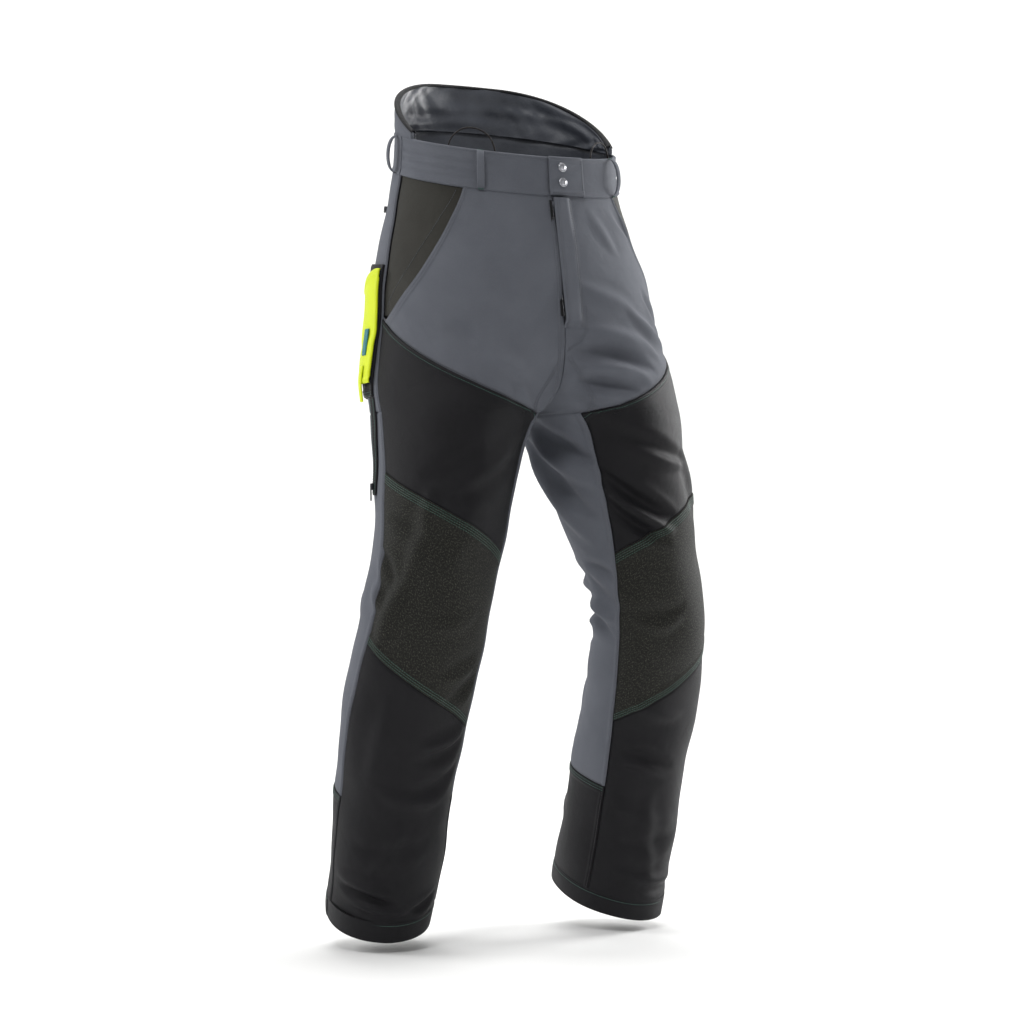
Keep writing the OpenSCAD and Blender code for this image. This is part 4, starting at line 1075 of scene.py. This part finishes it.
def placket_point(x, drop, out):
    """The placket stands in front of the zip and comes down to the left front at its far edge."""
    stand = (1 - ease((x - 16) / 13)) * (1 - ease((drop - 247) / 14))
    p = fly_point(x, drop, 0.4 + 2.4 * stand)
    line = mix(ZIP_TOP[1], ZIP_LOW[1], (ZIP_TOP[2] - p[..., 2]) / (ZIP_TOP[2] - ZIP_LOW[2]))
    y = mix(p[..., 1], np.minimum(line - 5.6, p[..., 1]), stand)
    return np.stack([x, y - out, p[..., 2]], -1) * MM


class TROUSERS_OT_fly(bpy.types.Operator):
    """Make the fly's placket, underlay and zip, and the seams below it"""
    bl_idname = "trousers.fly"
    bl_label = "Fly"
    bl_options = {"REGISTER", "UNDO"}

    def execute(self, context):
        k, f = np.meshgrid(stops(206, 3.4), stops(38, 1.8), indexing="ij")
        x, drop = mix(-3.0, 30.0, f), mix(FLY_TOP, FLY_LOW, k)
        roll = 0.9 * (1 - np.exp(-(f * 38 / 1.2)**2)) * (1 - ease((f * 38 - 30) / 7)) * (1 - ease((k - 0.9) / 0.1)) - 0.5 * np.exp(-((f * 38 - 7) / 0.9)**2)
        roll = roll - 0.45 * np.exp(-((f * 38 - 31) / 0.9)**2) - 0.4 * np.exp(-((f * 38 - 34.4) / 0.9)**2)
        roll = roll + 0.35 * np.sin(k * 23 + f * 4) * np.sin(math.pi * f)
        obj = shell("placket", placket_point(x, drop, roll), placket_point(x, drop, -1.0), "stretch softshell")
        declare(obj, ["fly_placket"], body="trousers")
        x = mix(-26.0, 20.0, f)
        obj = shell("underlay", fly_point(x, drop, -4.0) * MM, fly_point(x, drop, -5.6) * MM, "stretch softshell")
        declare(obj, ["fly_underlay"], body="trousers")
        # Stitch rows: two along the placket's seam, one near its free edge, the curved one below.
        line = np.linspace(0.01, 0.99, 260)
        rows = []
        for x0, thread in ((1.6, "grey thread"), (23.2, "grey thread"), (26.4, "grey thread")):
            d = mix(FLY_TOP, FLY_LOW, line)
            xs = np.full_like(d, x0)
            rows.append(bead_row(placket_point(xs, d, 1.0), placket_point(xs, d, 2.0), thread))
        for gap in (0.0, 3.2):
            d = mix(225.0, 296.0 - gap, line)
            xs = mix(33.0 - gap, 2.0, np.clip((d - 244) / (52 - gap), 0, 1)**2.6)
            rows.append(bead_row(fly_point(xs, d, 0.25) * MM, fly_point(xs, d, 1.25) * MM, "grey thread"))
        for side in (RIGHT, LEFT):
            for gap in (0.0, 0.016):
                d, u = mix(302.0, 379.0, line), mix(-0.985 + gap, -0.765 + gap, line**1.3)
                rows.append(bead_row(cloth(side, d, u, 0.3), cloth(side, d, u, 1.3), "grey thread"))
        obj = beads("fly_stitches", rows)
        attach(obj, "trousers")
        # The zip: two tapes and a row of teeth on each.
        t = np.linspace(0, 1, 60)[:, None]
        middle = mix(ZIP_TOP, ZIP_LOW, t)
        forward = np.array([0, -0.98, 0.198])
        tapes = []
        for s in (-1, 1):
            xs = np.array([0.8, 2.5, 5.0, 7.2])[None] * s
            outer = np.stack([xs + 0 * t, middle[:, 1:2] + 0.1 * xs * 0, middle[:, 2:] + 0 * xs], -1)
            tapes.append(shell(f"fly_tape_{s}", (outer + forward * 0.25) * MM, (outer - forward * 0.25) * MM, "zip tape"))
        obj = joined("fly_tapes", tapes)
        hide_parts("fly_zip_chain")
        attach(obj, "trousers")
        rows = []
        for s in (-1, 1):
            chain = (middle + np.array([s * 1.9, 0, 0])) * MM
            rows.append(bead_row(chain, chain + forward * MM, "nickel plate", 0.0018, 0.0015, 0.00055, True))
        obj = beads("fly_teeth", rows)
        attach(obj, "trousers")
        return {"FINISHED"}


# ---- pockets and vents -------------------------------------------------------------------------

def flap_cut():
    """The flap's top edge curves down towards the back, and its cloth bows out in the middle."""
    def places(k, f):
        top = 186 + 30 * np.clip(f - 0.12, 0, 1)**1.6
        return mix(top, 341.0, k), mix(0.006, 0.252, f) + 0 * k

    def shape(k, f):
        return 1.6 * np.sin(math.pi * k)**0.7 * np.sin(math.pi * f)**0.7 - 1.4 * np.exp(-((k - 0.55 - 0.1 * f) / 0.07)**2)
    return Cut(RIGHT, places, 150.0, 90.0, ("lap", (2.4, 7.0)), ("lap", (2.4,)), ("lap", (2.4,)), FLAT, out=9.6,
               shape=shape)


def pocket_shape(k, f):
    """A bellows pocket: full in its middle, drawn in at its seams."""
    return 3.0 * (np.sin(math.pi * np.clip(k, 0, 1)) * np.sin(math.pi * np.clip(f, 0, 1)))**0.35 - 2.4


# The rear zip lies on an arc about this axis, from a start at the seat.
ARC_MIDDLE, ARC_AXIS = np.array([-22.554, -39.812, -110.722]), np.array([0.0319646, 0.192335, -0.980809])


def rear_arc(turn, across, out):
    """A point of the rear zip, turn degrees along its arc, across it and out from it in mm."""
    drop, place = np.array(104.0), np.array(0.78)
    start = (bare(drop, place) + 3.6 * outward(drop, place)) * np.array([-1, 1, 1]) - ARC_MIDDLE
    a = np.radians(turn)[..., None]
    radial = start * np.cos(a) + np.cross(ARC_AXIS, start) * np.sin(a) + ARC_AXIS * (ARC_AXIS @ start) * (1 - np.cos(a))
    return (ARC_MIDDLE + radial + unit(radial) * out + ARC_AXIS * across[..., None]) * MM


class TROUSERS_OT_pockets(bpy.types.Operator):
    """Make the thigh pockets, the flap and its tabs, the vents and the rear zip"""
    bl_idname = "trousers.pockets"
    bl_label = "Pockets and vents"
    bl_options = {"REGISTER", "UNDO"}

    def execute(self, context):
        edges = (("lap", (2.4,)), ("lap", (2.4, 6.0)), ("lap", (2.4,)), ("lap", (2.4,)))
        cargo = patch_cut(RIGHT, 179, 359, 0.012, 0.268, 92, edges, 5.6, pocket_shape)
        obj = cargo.piece("cargo_pocket", "polyamide face cloth", thickness=4.6)
        declare(obj, ["cargo_pocket_right"], body="trousers")
        left = patch_cut(LEFT, 244, 359, 0.012, 0.268, 92, edges, 5.6, pocket_shape)
        obj = left.piece("side_pocket", "polyamide face cloth", thickness=4.6)
        declare(obj, ["side_pocket_left"], body="trousers")
        obj = beads("pocket_stitches", cargo.rows({"low": "green thread", "first": "grey thread"})
                    + left.rows({"low": "green thread", "first": "grey thread"}))
        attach(obj, "trousers")

        flap = flap_cut()
        obj = flap.piece("cargo_flap_cloth", "fluorescent polyester", thickness=1.8, step=2.4)
        declare(obj, ["cargo_flap_right"], body="cargo_flap")
        obj = beads("flap_stitches", flap.rows({"top": "yellow thread", "low": "yellow thread",
                                                "first": "yellow thread"}))
        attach(obj, "cargo_flap")
        flats = (FLAT, FLAT, FLAT, FLAT)
        tab = patch_cut(RIGHT, 318, 365, 0.07, 0.11, 15, flats, 13.2, lambda k, f: 0.5 * np.sin(k * 5) + 0 * f)
        obj = tab.piece("flap_tab", "fluorescent polyester", thickness=1.6, step=1.2)
        declare(obj, ["flap_pull_tab"], body="cargo_flap")
        label = patch_cut(RIGHT, 268, 304, 0.06, 0.11, 19, flats, 12.6)
        obj = label.piece("blank_tab", "woven tab", thickness=0.9, step=1.5)
        declare(obj, ["flap_label"], body="cargo_flap")

        for side in (RIGHT, LEFT):
            tag = SIDE_NAME[side]
            tape = patch_cut(side, 360, 492, 0.008, 0.052, 14, flats, 3.4)
            obj = tape.piece(f"{tag}_vent_tape", "zip tape", thickness=1.6, step=2.0)
            declare(obj, [f"vent_zip_{tag}"], body="trousers")
            rows = [tape.row("first", d, "moulded tooth", 0.03, 0.97, pitch=0.0019, half=0.0013, radius=0.0006,
                             crosswise=True) for d in (5.7, 8.3)]
            rows += [tape.row(edge, 1.6, "green thread", 0.01, 0.99) for edge in ("first", "second")]
            obj = beads(f"{tag}_vent_teeth", rows)
            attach(obj, "trousers")
        welt = patch_cut(RIGHT, 95, 116, 0.31, 0.79, 165, (LAP_ONE, LAP_ONE, FLAT, FLAT), -0.4)
        obj = welt.piece("rear_welt", "stretch softshell", thickness=1.0)
        declare(obj, [], body="trousers")
        turn, across = np.meshgrid(np.linspace(-1.0, 34.0, 70), np.linspace(-6, 6, 7), indexing="ij")
        obj = shell("rear_tape", rear_arc(turn, across, 0.25), rear_arc(turn, across, -0.25), "zip tape")
        declare(obj, ["rear_pocket_zip"], body="trousers")
        turn = np.linspace(-0.5, 33.5, 240)
        rows = [bead_row(rear_arc(turn, h + 0 * turn, 0.0), rear_arc(turn, h + 0 * turn, 1.0), "moulded tooth", 0.0019,
                         0.0011, 0.00055, True) for h in (-1.3, 1.3)]
        rows += welt.rows({"top": "grey thread", "low": "grey thread"})
        obj = beads("rear_teeth", rows)
        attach(obj, "trousers")
        return {"FINISHED"}


# ---- seams -------------------------------------------------------------------------------------

class TROUSERS_OT_seams(bpy.types.Operator):
    """Sew the panels: a stitch row in each seam's thread"""
    bl_idname = "trousers.seams"
    bl_label = "Seams"
    bl_options = {"REGISTER", "UNDO"}

    def execute(self, context):
        for side in (RIGHT, LEFT):
            tag = SIDE_NAME[side]
            front, seat = front_panel_cut(side), seat_panel_cut(side)
            rows = front.rows({"second": "grey thread"}) + seat.rows({"first": "grey thread"})
            rows += [front.row("low", 2.4, "grey thread", 0.02, 0.98)]
            rows += [front.row("first", d, "grey thread", 0.02, 0.98) for d in ((9.6, 12.8) if side == RIGHT else ())]
            facing = facing_cut(side)
            line = np.linspace(0.03, 0.93, 200)
            drop = mix(BAND_H, 249, line)
            beside = mouth_place(drop) + 0.035
            rows += [bead_row(cloth(side, drop, beside, facing.out + 0.15), cloth(side, drop, beside, facing.out + 1.15),
                              "grey thread")]
            if side == RIGHT:
                rows += seat.rows({"second": "grey thread"})
            for k in (0.075, 0.9):
                band = band_cut(side, -1.07 if side == RIGHT else -0.80, -0.004, 262 if side == RIGHT else 196, 0.0)
                rows.append(band.row("top", k * 51, "grey thread", 0.02, 0.98))
            obj = beads(f"{tag}_upper_stitches", rows)
            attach(obj, "trousers")
            rows = thigh_cut(side).rows({"top": "green thread"})
            rows += knee_cut(side).rows({"top": "green thread", "low": "green thread"})
            rows += back_leg_cut(side).rows({"first": "grey thread", "second": "grey thread"})
            obj = beads(f"{tag}_leg_stitches", rows)
            bend_at_knee(obj)
            turn = np.linspace(0, 360, 400)
            rows = gaiter_cut(side).rows({"top": "green thread", "first": "black thread", "second": "black thread"})
            rows.append(bead_row(hem_ring(side, 0.65, 0.16, turn), hem_ring(side, 1.65, 0.16, turn), "green thread"))
            obj = beads(f"{tag}_low_stitches", rows)
            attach(obj, leg_body(side))
        # Bar tacks on the feet of the two front loops, in green.
        rows = []
        for side, place in LOOPS[:2]:
            across = np.linspace(-0.8, 0.8, 40)
            for a in (0.05, 0.13, 0.21, 2.93, 3.01, 3.09):
                line = loop_point(side, place, a + 0 * across, across, LOOP_T * (1 - math.cos(a)**8) + 0.1 + 0 * across)
                above = loop_point(side, place, a + 0 * across, across, LOOP_T * (1 - math.cos(a)**8) + 1.1 + 0 * across)
                rows.append(bead_row(line, above + (above == line).all() * 1e-4, "green thread", 0.0011, 0.0008, 0.0004,
                                     True))
        obj = beads("bar_tacks", rows)
        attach(obj, "trousers")
        return {"FINISHED"}


# ---- finishes of the parts that keep their CAD shape ------------------------------------------

KEPT = {"stud_sockets": "nickel plate", "stud_posts": "nickel plate", "fly_zip_slider": "nickel plate",
        "fly_zip_pull": "nickel plate", "vent_slider_right": "dark zinc", "vent_slider_left": "dark zinc",
        "vent_pull_right": "dark zinc", "vent_pull_left": "dark zinc", "rear_pocket_slider": "dark zinc"}


class TROUSERS_OT_metal(bpy.types.Operator):
    """Give the studs, sliders and pulls their metal finishes"""
    bl_idname = "trousers.metal"
    bl_label = "Metal parts"
    bl_options = {"REGISTER", "UNDO"}

    def execute(self, context):
        for node, finish in KEPT.items():
            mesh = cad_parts[node].data
            mesh.materials.clear()
            mesh.materials.append(material(finish))
        return {"FINISHED"}


# ---- studio ------------------------------------------------------------------------------------

# The camera: what it looks at, the way it looks, how far off it stands and its lens, on a 36 mm sensor.
AIM, LOOK, DISTANCE, LENS = np.array([0.010, 0, -0.514]), np.array([0.5, 0.8660254, 0.0]), 3.8, 95.5


def look_along(obj, place, target):
    """Puts an object at a place with its -Z towards the target and its +Y up."""
    from mathutils import Vector
    way = Vector(target) - Vector(place)
    obj.location = place
    obj.rotation_euler = way.to_track_quat("-Z", "Y").to_euler()


def area_light(name, place, target, size, power, colour=(1, 1, 1)):
    data = bpy.data.lights.new(name, "AREA")
    data.shape, data.size, data.energy, data.color = "SQUARE", size, power, colour
    obj = bpy.data.objects.new(name, data)
    bpy.context.scene.collection.objects.link(obj)
    look_along(obj, place, target)
    return obj


class TROUSERS_OT_stage(bpy.types.Operator):
    """Set up the floor and backdrop, the soft lights and the camera"""
    bl_idname = "trousers.stage"
    bl_label = "Studio"
    bl_options = {"REGISTER", "UNDO"}

    def execute(self, context):
        stage = context.scene.trousers_stage
        # One sheet: a floor that curves up into a backdrop behind the object.
        s = np.linspace(0, 1, 60)
        run = np.where(s < 0.5, mix(-6, 3.0, s / 0.5), np.where(s < 0.75, 3.0 + 1.5 * np.sin((s - 0.5) / 0.25 * math.pi / 2), 4.5))
        rise = np.where(s < 0.5, 0, np.where(s < 0.75, 1.5 * (1 - np.cos((s - 0.5) / 0.25 * math.pi / 2)),
                                             mix(1.5, 7, (s - 0.75) / 0.25)))
        across = np.linspace(-7, 7, 12)
        side_way = np.array([LOOK[1], -LOOK[0], 0])
        grid = (run[:, None, None] * LOOK + across[None, :, None] * side_way
                + (rise[:, None, None] - 1.108) * np.array([0, 0, 1.0]))
        i = np.arange(grid.shape[0] * grid.shape[1]).reshape(grid.shape[:2])
        faces = np.stack([i[:-1, :-1], i[:-1, 1:], i[1:, 1:], i[1:, :-1]], -1).reshape(-1, 4)
        normal = np.cross(grid[0, 1] - grid[0, 0], grid[1, 0] - grid[0, 0])
        if normal[2] < 0:
            faces = faces[:, ::-1]
        backdrop = new_mesh("backdrop", grid.reshape(-1, 3), [faces])
        paper = bpy.data.materials.new("backdrop paper")
        paper.use_nodes = True
        shader = paper.node_tree.nodes["Principled BSDF"]
        shader.inputs["Base Color"].default_value = tuple(stage.backdrop_colour) + (1.0,)
        shader.inputs["Roughness"].default_value = 0.9
        backdrop.data.materials.append(paper)
        target = tuple(AIM)
        side_way = tuple(side_way)
        lights = [
            area_light("key", (-2.3, -2.3, 3.0), target, 1.0, stage.key_power),
            area_light("fill", (0.8, -3.4, 0.4), target, 2.6, stage.key_power * 0.12),
            area_light("edge right", (2.7, 0.1, 0.3), target, 1.2, stage.edge_power),
            area_light("edge left", (-2.2, 1.5, 0.7), target, 1.6, stage.edge_power * 0.6),
            area_light("top", (0.2, 0.3, 2.4), target, 1.8, stage.key_power * 0.6),
            area_light("backdrop wash", (0.9, 1.5, 3.0), (2.3, 3.9, 0.6), 2.6, stage.backdrop_power)]
        world = bpy.data.worlds.new("studio")
        world.use_nodes = True
        world.node_tree.nodes["Background"].inputs[0].default_value = (1, 1, 1, 1)
        world.node_tree.nodes["Background"].inputs[1].default_value = 0.28
        context.scene.world = world
        context.scene.view_settings.view_transform = "Standard"
        data = bpy.data.cameras.new("camera")
        data.lens, data.sensor_width = LENS, 36
        camera = bpy.data.objects.new("camera", data)
        context.scene.collection.objects.link(camera)
        look_along(camera, tuple(AIM - LOOK * DISTANCE), target)
        context.scene.camera = camera
        return {"FINISHED"}


# ---- panel -------------------------------------------------------------------------------------

class TROUSERS_PT_panel(bpy.types.Panel):
    """Sizes of the trousers, and one button for each group of pieces"""
    bl_label = "Chainsaw trousers"
    bl_idname = "TROUSERS_PT_panel"
    bl_space_type = "VIEW_3D"
    bl_region_type = "UI"
    bl_category = "Trousers"

    def draw(self, context):
        for group in (context.scene.trousers_sizes, context.scene.trousers_stage):
            box = self.layout.box()
            for key in group.bl_rna.properties.keys():
                if key not in ("rna_type", "name"):
                    box.prop(group, key)
        for operator in OPERATORS:
            self.layout.operator(operator.bl_idname)


OPERATORS = (TROUSERS_OT_metal, TROUSERS_OT_upper, TROUSERS_OT_legs, TROUSERS_OT_waist, TROUSERS_OT_fly,
             TROUSERS_OT_pockets, TROUSERS_OT_seams, TROUSERS_OT_stage)
CLASSES = (TrousersSizes, TrousersStage) + OPERATORS + (TROUSERS_PT_panel,)


def register():
    for c in CLASSES:
        bpy.utils.register_class(c)
    bpy.types.Scene.trousers_sizes = PointerProperty(type=TrousersSizes)
    bpy.types.Scene.trousers_stage = PointerProperty(type=TrousersStage)


def unregister():
    del bpy.types.Scene.trousers_stage
    del bpy.types.Scene.trousers_sizes
    for c in reversed(CLASSES):
        bpy.utils.unregister_class(c)


def main():
    register()
    for operator in OPERATORS:
        group, name = operator.bl_idname.split(".")
        result = getattr(getattr(bpy.ops, group), name)()
        if result != {"FINISHED"}:
            raise RuntimeError(f"{operator.bl_idname} did not finish: {result}")


if __name__ == "__main__":
    main()
